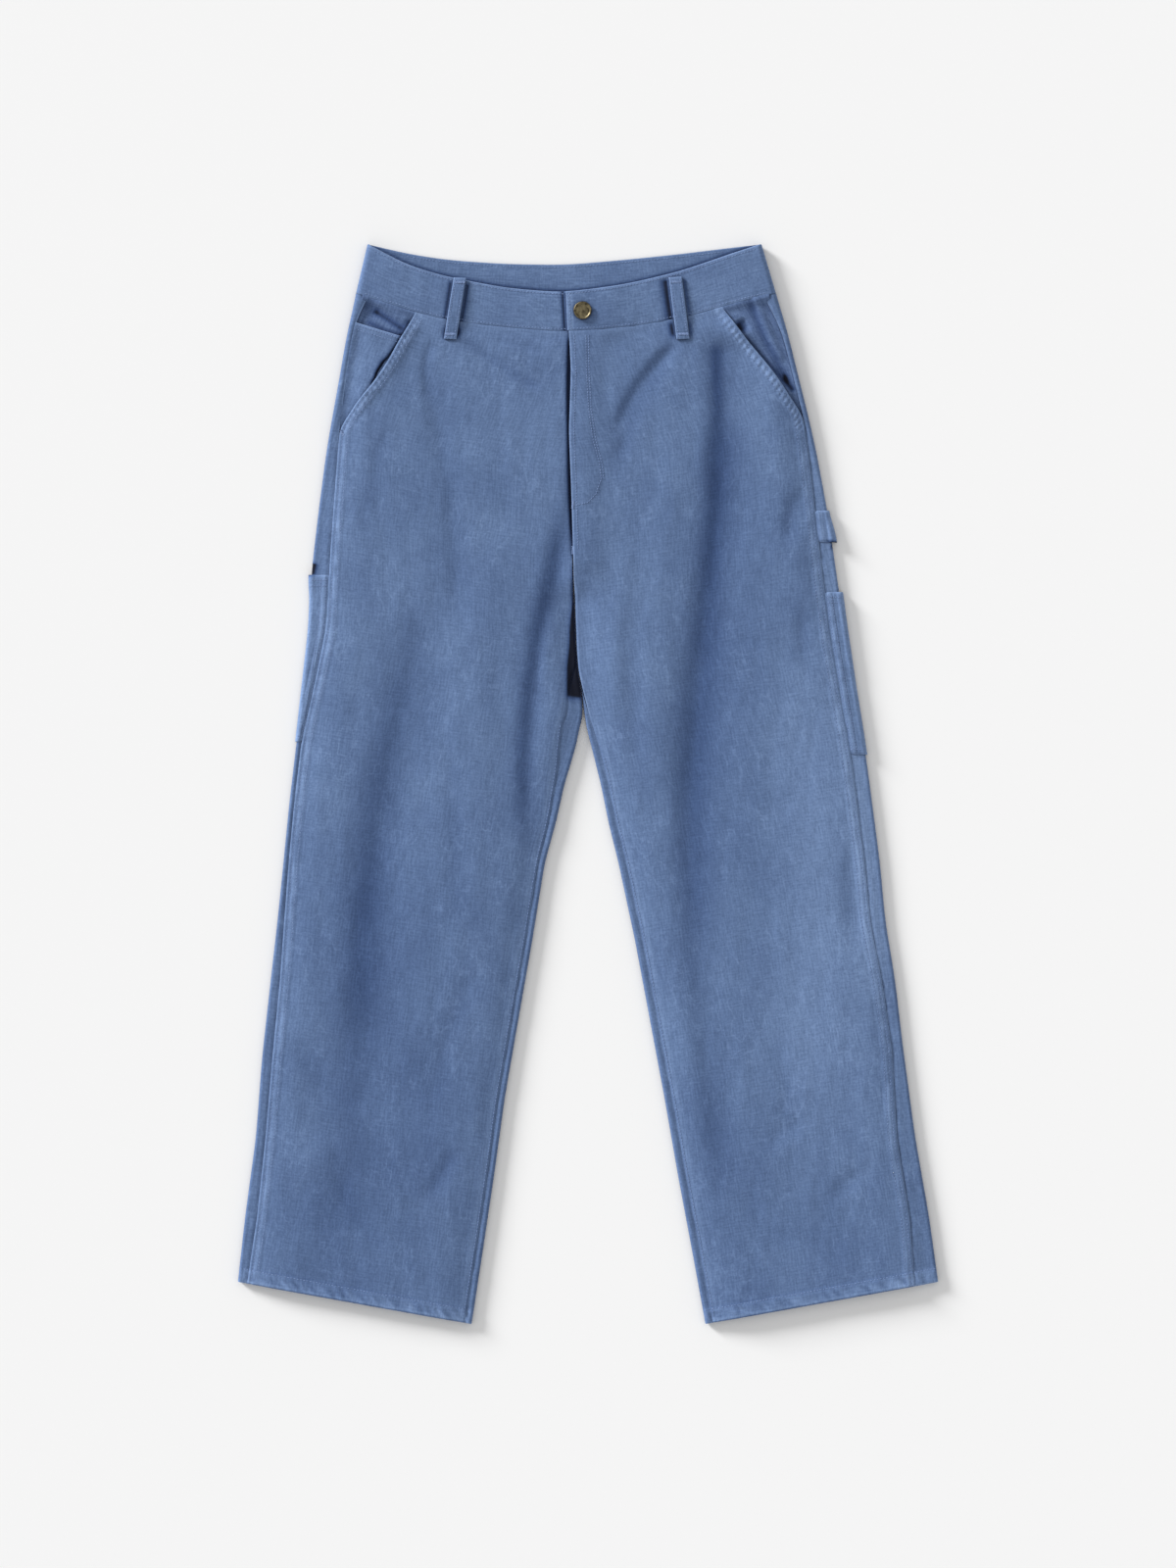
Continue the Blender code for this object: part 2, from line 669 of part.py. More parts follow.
def band_point(share, height, face):
    """Plan position on the waistband: share across, height 0 at its lower edge, 1 at its upper."""
    low_x = BAND_LOW_LEFT + (BAND_LOW_RIGHT - BAND_LOW_LEFT) * share
    top_x = BAND_TOP_LEFT + (BAND_TOP_RIGHT - BAND_TOP_LEFT) * share
    low_y = look_up(BAND, face + "_low", share) + SEAM_GAP
    top_y = look_up(BAND, face + "_top", share)
    return low_x + (top_x - low_x) * height, low_y + (top_y - low_y) * height


def band_front_height(x, lapped):
    """Height of the front waistband's upper surface; the lapping end lies over the other."""
    height = 2.0 * BAND_RADIUS + BAND_RISE
    if lapped:
        height += BAND_RAISE * math.exp(-(max(0.0, x - 14.0) / LAP_FADE) ** 2)
    return height


def band_side_ease(share_from_side):
    """The front of the band settles by its rise where it meets the rounded side."""
    return BAND_RISE * math.exp(-(share_from_side / BAND_SIDE_REACH) ** 2)


def band_line(height):
    """The waistband's outer surface at one height, from its under end round to its upper end."""
    edge = BAND_RADIUS / (BAND_TOP_RIGHT - BAND_TOP_LEFT)
    turn = [math.pi * (0.5 - step / BAND_TURN_STEPS) for step in range(1, BAND_TURN_STEPS)]
    line = []
    for share in np.linspace(BAND_UNDER_SHARE, edge, BAND_FRONT_COLUMNS):
        x, y = band_point(share, height, "front")
        line.append((x, y, band_front_height(x, False) - band_side_ease(share - edge)))
    for angle in turn:
        x, y = band_point(edge * (1.0 - math.cos(angle)), height, "front" if angle > 0 else "back")
        line.append((x, y, BAND_RADIUS * (1.0 + math.sin(angle))))
    for share in np.linspace(edge, 1.0 - edge, BAND_BACK_COLUMNS):
        x, y = band_point(share, height, "back")
        line.append((x, y, 0.0))
    for angle in reversed(turn):
        x, y = band_point(1.0 - edge * (1.0 - math.cos(angle)), height, "front" if angle > 0 else "back")
        line.append((x, y, BAND_RADIUS * (1.0 + math.sin(angle))))
    for share in np.linspace(1.0 - edge, BAND_LAP_SHARE, BAND_FRONT_COLUMNS):
        x, y = band_point(share, height, "front")
        line.append((x, y, band_front_height(x, True) - band_side_ease(1.0 - edge - share)))
    return line


def waistband(name, colour):
    lines = [band_line(height) for height in np.linspace(0.0, 1.0, BAND_ROWS)]
    return sheet(name, lines, BAND_CLOTH, colour, flip=True)


def belt_loop(name, half, top_left, low_left, width, colour):
    """A folded strip sewn at the band's upper edge and just below its lower seam."""
    lines = []
    for share in np.linspace(0.0, 1.0, LOOP_STEPS + 1):
        x_left = top_left[0] + (low_left[0] - top_left[0]) * share
        y = top_left[1] + (low_left[1] - top_left[1]) * share
        stand = LOOP_STAND * max(0.0, math.sin(math.pi * share)) ** 0.8
        line = []
        for x in (x_left, x_left + width / 2.0, x_left + width):
            band_share = (x - BAND_LOW_LEFT) / (BAND_LOW_RIGHT - BAND_LOW_LEFT)
            seam = look_up(BAND, "front_low", band_share)
            band_z = band_front_height(x, half is RIGHT)
            panel_z = top_height(half, x, min(y, seam)) if y < seam + 4.0 else band_z
            on_band = smooth(seam - 7.0, seam + 1.0, y)
            ground = panel_z + (max(band_z, panel_z) - panel_z) * on_band
            line.append((x, y, ground + LIFT + LOOP_CLOTH + stand))
        lines.append(line)
    return sheet(name, lines, LOOP_CLOTH, colour, flip=True)


def button(name, x, y, z, colour):
    """A turned jeans button: flat base, rolled rim and a shallow domed face."""
    mesh = bpy.data.meshes.new(name)
    points = [(radius * MM, 0.0, height * MM) for radius, height in BUTTON_PROFILE]
    mesh.from_pydata(points, [(i, i + 1) for i in range(len(points) - 1)], [])
    mesh.materials.append(colour)
    made = bpy.data.objects.new(name, mesh)
    garment.objects.link(made)
    made.location = (x * MM, y * MM, z * MM)
    turn = made.modifiers.new("turn", "SCREW")
    turn.steps = turn.render_steps = BUTTON_STEPS
    turn.use_merge_vertices = True
    turn.merge_threshold = 0.00005
    turn.use_normal_calculate = True
    return made


def build():
    front = material("canvas_front", "#647A9F", 0.9)
    back = material("canvas_back", "#61779B", 0.9)
    trim = material("canvas_trim", "#6B82A8", 0.9)
    inside = material("canvas_facing", "#5C7196", 0.9)
    brass = material("antique_brass", "#6E6047", 0.38, 1.0)

    leg_panel(LEFT, "front", "front_left", front)
    leg_panel(RIGHT, "front", "front_right", front)
    leg_panel(LEFT, "back", "back_left", back)
    leg_panel(RIGHT, "back", "back_right", back)
    waistband("waistband", trim)
    pocket_facing(LEFT, "pocket_facing_left", inside)
    pocket_facing(RIGHT, "pocket_facing_right", inside)
    coin_pocket(LEFT, "coin_pocket", trim)

    edge_strip("side_pocket_left", LEFT, SIDE_POCKET_LEFT, SIDE_POCKET_ON_TOP["left"],
               lambda y: 2.2 * smooth(176.0, 208.0, y), trim)
    edge_strip("side_pocket_right", RIGHT, SIDE_POCKET_RIGHT, SIDE_POCKET_ON_TOP["right"],
               lambda y: 0.4 + 2.8 * smooth(40.0, 190.0, y), trim)
    edge_strip("hammer_loop", RIGHT, HAMMER_LOOP, HAMMER_LOOP_ON_TOP,
               lambda y: 0.8 + 2.6 * smooth(272.0, 244.0, y), trim)

    belt_loop("belt_loop_left", LEFT, (-133.4, 502.0), (-143.2, 441.2), 12.7, trim)
    belt_loop("belt_loop_right", RIGHT, (79.9, 503.0), (87.7, 441.2), 13.4, trim)
    button_z = band_front_height(BUTTON_X, True) + BUTTON_CLEARANCE
    button("button", BUTTON_X, BUTTON_Y, button_z, brass)


for old in list(bpy.data.objects):
    bpy.data.objects.remove(old)
garment = bpy.data.collections.new("jeans")
bpy.context.scene.collection.children.link(garment)
build()
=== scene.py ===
# %% [markdown]
# # Blue canvas jeans, laid flat
#
# A pair of washed cotton jeans lies face up on a pale floor, seen from straight
# above. Each panel of the real garment becomes one thin sheet of cloth here. The
# shapes follow one set of tailor's measurements in millimetres, so the sheets
# meet at their seams the way sewn panels do.

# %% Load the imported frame
import math

import bmesh
import bpy
import numpy as np
from mathutils import Matrix, Vector
from mathutils.bvhtree import BVHTree


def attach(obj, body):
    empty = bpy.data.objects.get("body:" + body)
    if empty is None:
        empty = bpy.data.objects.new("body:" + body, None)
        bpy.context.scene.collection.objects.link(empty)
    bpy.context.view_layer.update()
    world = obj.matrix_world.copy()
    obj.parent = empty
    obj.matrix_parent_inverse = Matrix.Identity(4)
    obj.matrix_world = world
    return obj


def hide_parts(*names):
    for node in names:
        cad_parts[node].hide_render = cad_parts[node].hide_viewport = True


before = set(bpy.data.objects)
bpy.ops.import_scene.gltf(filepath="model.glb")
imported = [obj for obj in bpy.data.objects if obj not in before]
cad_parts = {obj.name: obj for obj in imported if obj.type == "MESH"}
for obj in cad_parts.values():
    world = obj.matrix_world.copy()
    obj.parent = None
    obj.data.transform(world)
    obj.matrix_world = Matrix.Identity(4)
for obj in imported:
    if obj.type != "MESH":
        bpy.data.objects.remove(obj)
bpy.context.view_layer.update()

MM = 0.001

# %% [markdown]
# ## Camera
#
# The photograph looks straight down. A long lens held over four metres up keeps
# the outline free of perspective, and the frame is 1558 mm tall on the garment.

# %% Camera straight above
LENS_MM = 100.0
SENSOR_MM = 36.0
FRAME_HEIGHT = 1.5584
CLOTH_LEVEL = 0.006

eye = bpy.data.objects.new("camera", bpy.data.cameras.new("camera"))
eye.data.lens = LENS_MM
eye.data.sensor_fit = "VERTICAL"
eye.data.sensor_height = SENSOR_MM
eye.location = (0.0, 0.0, CLOTH_LEVEL + FRAME_HEIGHT * LENS_MM / SENSOR_MM)
bpy.context.scene.collection.objects.link(eye)
bpy.context.scene.camera = eye
print("camera height", round(eye.location.z, 3))

# %% [markdown]
# ## Light
#
# The key is a broad sun lamp low on the upper left. It draws the folds, throws a
# soft shadow to the right and below, and lights the whole floor evenly. The pale
# world light fills the rest, as white studio walls do.

# %% Key light and pale world
KEY_FROM = (-0.80, 0.60)
KEY_HEIGHT_DEG = 15.0
KEY_SPREAD_DEG = 16.0
KEY_STRENGTH = 4.7
FILL_STRENGTH = 0.62

key = bpy.data.objects.new("key_light", bpy.data.lights.new("key_light", "SUN"))
key.data.energy = KEY_STRENGTH
key.data.angle = math.radians(KEY_SPREAD_DEG)
aim = Vector((-KEY_FROM[0], -KEY_FROM[1], -math.tan(math.radians(KEY_HEIGHT_DEG))))
key.rotation_euler = aim.to_track_quat("-Z", "Y").to_euler()
bpy.context.scene.collection.objects.link(key)

world = bpy.data.worlds.new("studio")
world.use_nodes = True
world.node_tree.nodes["Background"].inputs["Color"].default_value = (1.0, 1.0, 1.0, 1.0)
world.node_tree.nodes["Background"].inputs["Strength"].default_value = FILL_STRENGTH
bpy.context.scene.world = world
bpy.context.scene.view_settings.view_transform = "Standard"
print("light set")

# %% [markdown]
# ## Colours and materials
#
# The cloth is piece-dyed cotton canvas, washed until it is matt. Its yarns are
# uneven, so short pale and dark streaks run along both threads of the weave. The
# streaks read the sheet's own UV map, which is laid out in metres of cloth. In
# narrow hollows the cloth is darkened towards a deep navy, as painted shade: the
# Ambient Occlusion node finds those places. The sheet also carries painted shade
# in an attribute. At its deepest it is nearly black, and stands for the photo's
# dark gaps and shadow lines, at the pocket mouths, the belt loops, the band and
# the crotch. Some fold ridges, and the parts of the utility pockets and hammer
# loop that lie on top, get a painted highlight, mixed in with the real wear at
# seams and hems.

# %% Colour and node helpers
def linear(hex_colour):
    """An sRGB hex colour as the linear values that shaders take."""
    channels = [int(hex_colour[i:i + 2], 16) / 255.0 for i in (1, 3, 5)]
    return [c / 12.92 if c <= 0.04045 else ((c + 0.055) / 1.055) ** 2.4 for c in channels] + [1.0]


def add_node(tree, kind, settings=None, **links):
    """Adds a node; `settings` are its properties or sockets, `links` its inputs' sources."""
    node = tree.nodes.new(kind)
    for name, value in (settings or {}).items():
        if hasattr(node, name):
            setattr(node, name, value)
        else:
            node.inputs[name].default_value = value
    for name, source in links.items():
        tree.links.new(source, node.inputs[name.replace("_", " ")])
    return node


def plug(tree, socket, source):
    """Links another node's output to a socket, or sets the socket to a plain value."""
    if isinstance(source, bpy.types.NodeSocket):
        tree.links.new(source, socket)
    else:
        socket.default_value = source


def ramp(tree, source, stops):
    """A colour ramp; each stop is a place from 0 to 1 and a linear colour."""
    node = add_node(tree, "ShaderNodeValToRGB", Fac=source)
    for _ in stops[2:]:
        node.color_ramp.elements.new(0.5)
    for element, (place, colour) in zip(node.color_ramp.elements, stops):
        element.position = place
        element.color = colour
    return node.outputs["Color"]


def blend(tree, first, second, share, how="MIX"):
    """Mixes two colours; any of the three may be a value or another node's output."""
    node = add_node(tree, "ShaderNodeMix", {"data_type": "RGBA", "blend_type": how})
    for index, source in ((0, share), (6, first), (7, second)):
        plug(tree, node.inputs[index], source)
    return node.outputs[2]


def blend_values(tree, first, second, share):
    """Mixes two plain values."""
    node = add_node(tree, "ShaderNodeMix", {"data_type": "FLOAT"})
    for index, source in ((0, share), (2, first), (3, second)):
        plug(tree, node.inputs[index], source)
    return node.outputs[0]


def worked_out(tree, operation, *sources):
    """A Math node on values or outputs."""
    node = add_node(tree, "ShaderNodeMath", {"operation": operation})
    for socket, source in zip(node.inputs, sources):
        plug(tree, socket, source)
    return node.outputs[0]


def ranged(tree, source, low, high, to_low=0.0, to_high=1.0):
    """Stretches the values from `low` to `high` onto another range."""
    settings = {"From Min": low, "From Max": high, "To Min": to_low, "To Max": to_high}
    return add_node(tree, "ShaderNodeMapRange", settings, Value=source).outputs["Result"]


def blank_material(name):
    made = bpy.data.materials.new(name)
    made.use_nodes = True
    return made, made.node_tree, made.node_tree.nodes["Principled BSDF"]


# %% Washed canvas
CLOTH_BASE = "#5C739A"
CLOTH_DARK = "#52688D"
CLOTH_PALE = "#667EA6"
# The pale colour of worn cloth; the painted highlights use it too.
CLOTH_WORN = "#86A0CA"
# Painted shade in hollows: the deep navy that the Ambient Occlusion node darkens the cloth towards.
HOLLOW_SHADE = "#1C2A4C"
WHITE, BLACK = (1.0, 1.0, 1.0, 1.0), (0.0, 0.0, 0.0, 1.0)
# Painted shade: the tones that the painted shade attribute multiplies the cloth by, down to nearly black.
SHADE_TONES = ((0.0, WHITE), (0.6, (0.40, 0.48, 0.62, 1.0)), (1.0, (0.008, 0.014, 0.036, 1.0)))
WASH_TONES = ((0.3, (0.90, 0.91, 0.93, 1.0)), (0.7, (1.08, 1.07, 1.05, 1.0)))
HOLLOW_REACH = 0.007
HOLLOW_SHUT, HOLLOW_OPEN = 0.42, 0.92
# Real yarns lie about 0.5 mm apart. Each streak stands for a few of them, so that it shows from this far.
SLUB_WIDTH = 0.0016
SLUB_LENGTH = 0.017
GRAIN_SIZE = 0.0022
WEFT_SHARE, GRAIN_SHARE = 0.42, 0.34
WASH_SIZE = 0.075
CREASE_LENGTH, CREASE_WIDTH = 0.030, 0.017
CREASE_TONES = ((0.462, BLACK), (0.5, WHITE), (0.538, BLACK))
CREASE_WEAR = 0.24
PATCH_LENGTH, PATCH_WIDTH = 0.06, 0.045
WEAVE_DEPTH = 0.0004


def streaks(tree, cloth_uv, along, across, seed):
    """Noise stretched along one yarn direction: `along` by `across` metres."""
    place = {"Scale": (1.0 / across, 1.0 / along, 1.0), "Location": (seed, seed, 0)}
    scaled = add_node(tree, "ShaderNodeMapping", place, Vector=cloth_uv).outputs["Vector"]
    kind = {"noise_dimensions": "2D", "Scale": 1.0, "Detail": 2.0, "Roughness": 0.55}
    return add_node(tree, "ShaderNodeTexNoise", kind, Vector=scaled).outputs["Fac"]


def wash_creases(tree, cloth_uv):
    """Fine broken creases, set and rubbed pale in the wash: thin level lines of a slow noise."""
    line = ramp(tree, streaks(tree, cloth_uv, CREASE_LENGTH, CREASE_WIDTH, 9.4), CREASE_TONES)
    here = ranged(tree, streaks(tree, cloth_uv, PATCH_LENGTH, PATCH_WIDTH, 2.2), 0.44, 0.58)
    return worked_out(tree, "MULTIPLY", line, here)


def painted(tree, name):
    """A value that is stored on each corner point of the cloth."""
    return add_node(tree, "ShaderNodeAttribute", {"attribute_name": name}).outputs["Fac"]


def washed_canvas(name, base, dark, pale, worn):
    """Matt cotton canvas: slubby yarns both ways, wash mottling, wear, painted highlights and painted shade.
    """
    made, tree, shader = blank_material(name)
    cloth_uv = add_node(tree, "ShaderNodeUVMap", {"uv_map": "cloth"}).outputs["UV"]
    warp = streaks(tree, cloth_uv, SLUB_LENGTH, SLUB_WIDTH, 3.1)
    weft = streaks(tree, cloth_uv, SLUB_WIDTH, SLUB_LENGTH, 7.7)
    grain = streaks(tree, cloth_uv, GRAIN_SIZE, GRAIN_SIZE, 1.3)
    yarn = blend_values(tree, blend_values(tree, warp, weft, WEFT_SHARE), grain, GRAIN_SHARE)
    tone = ramp(tree, yarn, ((0.36, linear(dark)), (0.5, linear(base)), (0.64, linear(pale))))
    wash = ramp(tree, streaks(tree, cloth_uv, WASH_SIZE, WASH_SIZE * 0.7, 5.9), WASH_TONES)
    dyed = blend(tree, tone, wash, 1.0, "MULTIPLY")
    # Wash creases and the wear attribute, which holds real wear and painted highlights; both mix the cloth
    # towards the worn colour.
    wear_and_highlight = worked_out(tree, "MULTIPLY_ADD", wash_creases(tree, cloth_uv), CREASE_WEAR, painted(tree, "wear_and_highlight"))
    worn_and_lit_yarn = worked_out(tree, "MULTIPLY", wear_and_highlight, ranged(tree, yarn, 0.3, 0.7, 0.35, 1.25))
    worn_and_lit_cloth = blend(tree, dyed, linear(worn), worn_and_lit_yarn)
    # Painted shade from the cloth's attribute: dark folds, gaps and shadow lines.
    shade_paint = ramp(tree, painted(tree, "painted_shade"), SHADE_TONES)
    shaded_cloth = blend(tree, worn_and_lit_cloth, shade_paint, 1.0, "MULTIPLY")
    # Painted shade: where the Ambient Occlusion node finds a narrow hollow, the cloth is darkened towards a
    # deep navy.
    hollows = add_node(tree, "ShaderNodeAmbientOcclusion", {"samples": 8, "Distance": HOLLOW_REACH})
    unshaded = ranged(tree, hollows.outputs["AO"], HOLLOW_SHUT, HOLLOW_OPEN)
    plug(tree, shader.inputs["Base Color"], blend(tree, linear(HOLLOW_SHADE), shaded_cloth, unshaded))
    weave = add_node(tree, "ShaderNodeBump", {"Strength": 0.42, "Distance": WEAVE_DEPTH}, Height=yarn)
    plug(tree, shader.inputs["Normal"], weave.outputs["Normal"])
    shader.inputs["Roughness"].default_value = 0.92
    shader.inputs["Specular IOR Level"].default_value = 0.2
    shader.inputs["Sheen Weight"].default_value = 0.12
    shader.inputs["Sheen Roughness"].default_value = 0.5
    return made


canvas = washed_canvas("washed_cotton_canvas", CLOTH_BASE, CLOTH_DARK, CLOTH_PALE, CLOTH_WORN)
# A darker copy of the canvas: painted shade for the pocket facings, which lie in the mouths of the slant
# pockets.
canvas_shaded = washed_canvas("washed_cotton_canvas_shaded", "#556B93", "#485D84", "#637AA3", "#7891BC")
print("canvas made")

# %% Thread, brass and floor
def plain_material(name, hex_colour, roughness, metallic=0.0):
    made, tree, shader = blank_material(name)
    shader.inputs["Base Color"].default_value = linear(hex_colour)
    shader.inputs["Roughness"].default_value = roughness
    shader.inputs["Metallic"].default_value = metallic
    return made, tree, shader


def twisted_thread(name, pale, dark):
    """Spun polyester sewing thread, a shade lighter than the cloth; its ply shows as fine bands."""
    made, tree, shader = plain_material(name, pale, 0.6)
    place = add_node(tree, "ShaderNodeTexCoord").outputs["Object"]
    ply = add_node(tree, "ShaderNodeTexNoise", {"Scale": 900.0, "Detail": 1.0}, Vector=place).outputs["Fac"]
    tone = ramp(tree, ply, ((0.35, linear(dark)), (0.65, linear(pale))))
    plug(tree, shader.inputs["Base Color"], tone)
    shader.inputs["Specular IOR Level"].default_value = 0.3
    return made


def antique_brass(name):
    """Stamped brass, browned and rubbed: a random stain of dark and bright patches, and of roughness."""
    made, tree, shader = plain_material(name, "#6F6349", 0.45, 1.0)
    place = add_node(tree, "ShaderNodeTexCoord").outputs["Object"]
    stain = add_node(tree, "ShaderNodeTexNoise", {"Scale": 320.0, "Detail": 3.0}, Vector=place).outputs["Fac"]
    tone = ramp(tree, stain, ((0.32, linear("#3B3427")), (0.68, linear("#8C8266"))))
    plug(tree, shader.inputs["Base Color"], tone)
    plug(tree, shader.inputs["Roughness"], ranged(tree, stain, 0.0, 1.0, 0.30, 0.52))
    return made


thread = twisted_thread("spun_thread", "#8298C2", "#60769F")
brass = antique_brass("antique_brass")

FLOOR_SIZE = 6.0
FLOOR_BELOW = 0.0003


def mesh_from(name, shape):
    """Turns a finished bmesh into a mesh."""
    mesh = bpy.data.meshes.new(name)
    shape.to_mesh(mesh)
    shape.free()
    return mesh


def placed(name, mesh, material):
    """A smooth-shaded object of one material, put into the scene."""
    mesh.shade_smooth()
    mesh.materials.append(material)
    made = bpy.data.objects.new(name, mesh)
    bpy.context.scene.collection.objects.link(made)
    return made


floor_shape = bmesh.new()
bmesh.ops.create_grid(floor_shape, x_segments=1, y_segments=1, size=FLOOR_SIZE)
bmesh.ops.translate(floor_shape, verts=floor_shape.verts, vec=(0.0, 0.0, -FLOOR_BELOW))
floor = placed("floor", mesh_from("floor", floor_shape), plain_material("pale_floor", "#F4F4F4", 0.9)[0])
print("floor laid")

# %% [markdown]
# ## The tailor's measurements
#
# Every number here is a real size in millimetres, read off the photograph and
# eased into smooth lines. `Half` holds one leg with its half of the hips. On the
# real garment the back panel is wider than the front, so when the jeans lie flat
# it rolls round both edges onto the top; the `back` and `wrap` columns say by
# how much.

# %% Tables of the outline
CLOTH = 1.2
HEM_CLOTH = 2.0
BAND_CLOTH = 2.6
WAIST_Y = 487.0
HEM_Y = -494.8
HEM_DROP = 42.0
HEM_DEPTH = 14.0
ROW_INSET = 0.6
WAIST_DROP = {"front": 38.5, "back": 11.0}
EDGE_RADIUS = 3.0
BAND_RADIUS = 5.0
CROTCH_TOP, CROTCH_LOW = 207.0, 177.0
FLY_LAP, FLY_RAISE, FLY_BOTTOM, FLY_EASE = 8.0, 2.0, 225.0, 27.0
BAND_RAISE = 3.0

# y, distance out, where the back ends on top, where the front begins, edge radius
LEFT_OUTER = (
    (487, 230.8, 12.0, 60.4, 4.6), (470, 234.3, 8.0, 55.6, 4.5), (448, 239.6, 6.0, 48.0, 4.3),
    (405, 247.0, 7.0, 34.0, 4.0), (354, 256.2, 9.2, 10.2, 3.6), (331, 260.1, 11.5, 12.0, 3.3),
    (273, 267.8, 14.8, 15.2, 3.0), (214, 274.7, 17.6, 18.0, 3.0), (156, 276.8, 16.6, 17.0, 3.0),
    (97, 283.6, 11.0, 11.4, 3.0), (43, 289.7, 5.2, 5.6, 3.0), (-19, 297.1, 5.2, 5.6, 3.0),
    (-78, 302.9, 5.5, 5.9, 3.0), (-136, 308.8, 7.0, 7.4, 3.0), (-195, 315.6, 9.5, 9.9, 3.0),
    (-273, 324.3, 10.5, 10.9, 3.0), (-351, 330.2, 9.8, 10.2, 3.0), (-429, 340.9, 12.0, 12.4, 3.0),
    (-494.8, 348.2, 9.6, 10.0, 3.0),
)
RIGHT_OUTER = (
    (487, 187.0, 12.0, 54.5, 4.6), (448, 198.7, 6.0, 41.0, 4.3), (420, 205.5, 5.4, 28.0, 4.1),
    (366, 219.0, 5.2, 6.2, 3.7), (331, 226.9, 8.0, 8.4, 3.3), (273, 237.7, 11.9, 12.3, 3.0),
    (214, 246.4, 13.8, 14.2, 3.0), (156, 254.6, 14.5, 14.9, 3.0), (97, 264.5, 15.0, 15.4, 3.0),
    (58, 271.5, 15.0, 15.4, 3.0), (19, 277.6, 15.0, 15.4, 3.0), (-78, 290.3, 15.1, 15.5, 3.0),
    (-136, 295.6, 15.0, 15.4, 3.0), (-195, 305.4, 13.0, 13.4, 3.0), (-260, 313.0, 11.2, 11.6, 3.0),
    (-351, 325.3, 18.1, 18.5, 3.0), (-429, 339.0, 19.0, 19.4, 3.0), (-494.8, 348.2, 23.5, 23.9, 3.0),
)
# y, distance out from the centre line, cloth of the back panel round the edge
LEFT_INNER = (
    (449, 19.7, 0.0), (409, 17.7, 0.0), (350, 19.7, 0.0), (286, 17.2, 0.0), (205, 14.6, 0.0),
    (175, 13.4, 0.0), (136, 12.0, 1.0), (111, 10.0, 6.0), (97, 7.1, 14.0), (78, 5.2, 17.0),
    (66, 5.2, 18.5), (58, 8.0, 19.5), (39, 11.7, 18.5), (19, 17.5, 14.0), (0, 23.4, 11.0), (-39, 32.1, 9.0),
    (-78, 42.9, 8.4), (-156, 55.5, 8.4), (-234, 69.2, 8.4), (-312, 82.8, 8.4), (-390, 93.5, 8.4),
    (-468, 105.2, 8.6), (-538, 115.9, 8.8),
)
RIGHT_INNER = (
    (449, -19.3, 0.0), (409, -17.3, 0.0), (350, -19.3, 0.0), (286, -16.8, 0.0), (205, -14.4, 0.0),
    (175, -13.1, 0.0), (136, -11.7, 0.5), (111, -9.7, 1.0), (97, -6.8, 2.0), (78, -4.9, 5.0),
    (58, -1.9, 8.0), (39, 2.9, 9.5), (0, 12.7, 9.5), (-39, 20.5, 9.5), (-78, 30.2, 9.5),
    (-156, 46.8, 9.5), (-234, 61.4, 9.5), (-312, 76.0, 9.5), (-390, 89.6, 9.5), (-468, 104.2, 9.5),
    (-538, 116.9, 9.5),
)
# share across the waist, then the front and back edges of the waistband
BAND = (
    (0.00, 536.8, 487.0, 536.8, 487.0), (0.10, 515.5, 473.5, 527.5, 483.5),
    (0.20, 504.0, 461.5, 521.3, 480.0), (0.35, 492.8, 453.0, 517.2, 477.0),
    (0.50, 488.0, 448.5, 516.3, 476.0), (0.65, 495.8, 453.0, 521.3, 478.0),
    (0.80, 510.0, 464.5, 527.4, 481.5), (0.90, 524.0, 477.0, 532.3, 484.5),
    (1.00, 536.8, 487.0, 536.8, 487.0),
)
BAND_TOP_X = (-219.2, 172.4)
BAND_LOW_X = (-230.8, 187.0)
# y, how far the upper surface stands above the rolled edges between them
LOFT = ((487, 1.2), (440, 3.2), (350, 5.4), (205, 5.2), (60, 4.8), (-150, 4.2), (-350, 3.4), (-460, 3.2),
        (-540, 3.8))


def eased(rows, which, ease, step=1.0):
    """A smooth line through one column of a table; `ease` is how far its corners are rounded."""
    rows = sorted(rows)
    at = np.arange(rows[0][0], rows[-1][0] + step / 2.0, step)
    line = np.interp(at, [row[0] for row in rows], [row[which] for row in rows])
    half_width = int(3 * ease / step)
    kernel = np.exp(-0.5 * (np.arange(-half_width, half_width + 1) * step / ease) ** 2)
    padded = np.pad(line, half_width, mode="reflect", reflect_type="odd")
    line = np.convolve(padded, kernel / kernel.sum(), mode="valid")
    return lambda value: np.interp(value, at, line)


class Half:
    """One leg with its half of the hips; `side` is -1 at the left of the picture."""

    def __init__(self, side, outer, inner):
        self.name = "L" if side < 0 else "R"
        self.side = side
        self.out = eased(outer, 1, 11.0)
        self.back = eased(outer, 2, 7.0)
        self.front = eased(outer, 3, 5.0)
        self.radius = eased(outer, 4, 12.0)
        self.inn = eased(inner, 1, 6.0)
        self.wrap = eased(inner, 2, 6.0)


left = Half(-1, LEFT_OUTER, LEFT_INNER)
right = Half(1, RIGHT_OUTER, RIGHT_INNER)
loft = eased(LOFT, 1, 25.0)
band_edge = {name: eased(BAND, which, 0.035, 0.002)
             for which, name in enumerate(("front_top", "front_low", "back_top", "back_low"), start=1)}
print("leg width at the hem", float(left.out(HEM_Y) - left.inn(HEM_Y - HEM_DROP)))
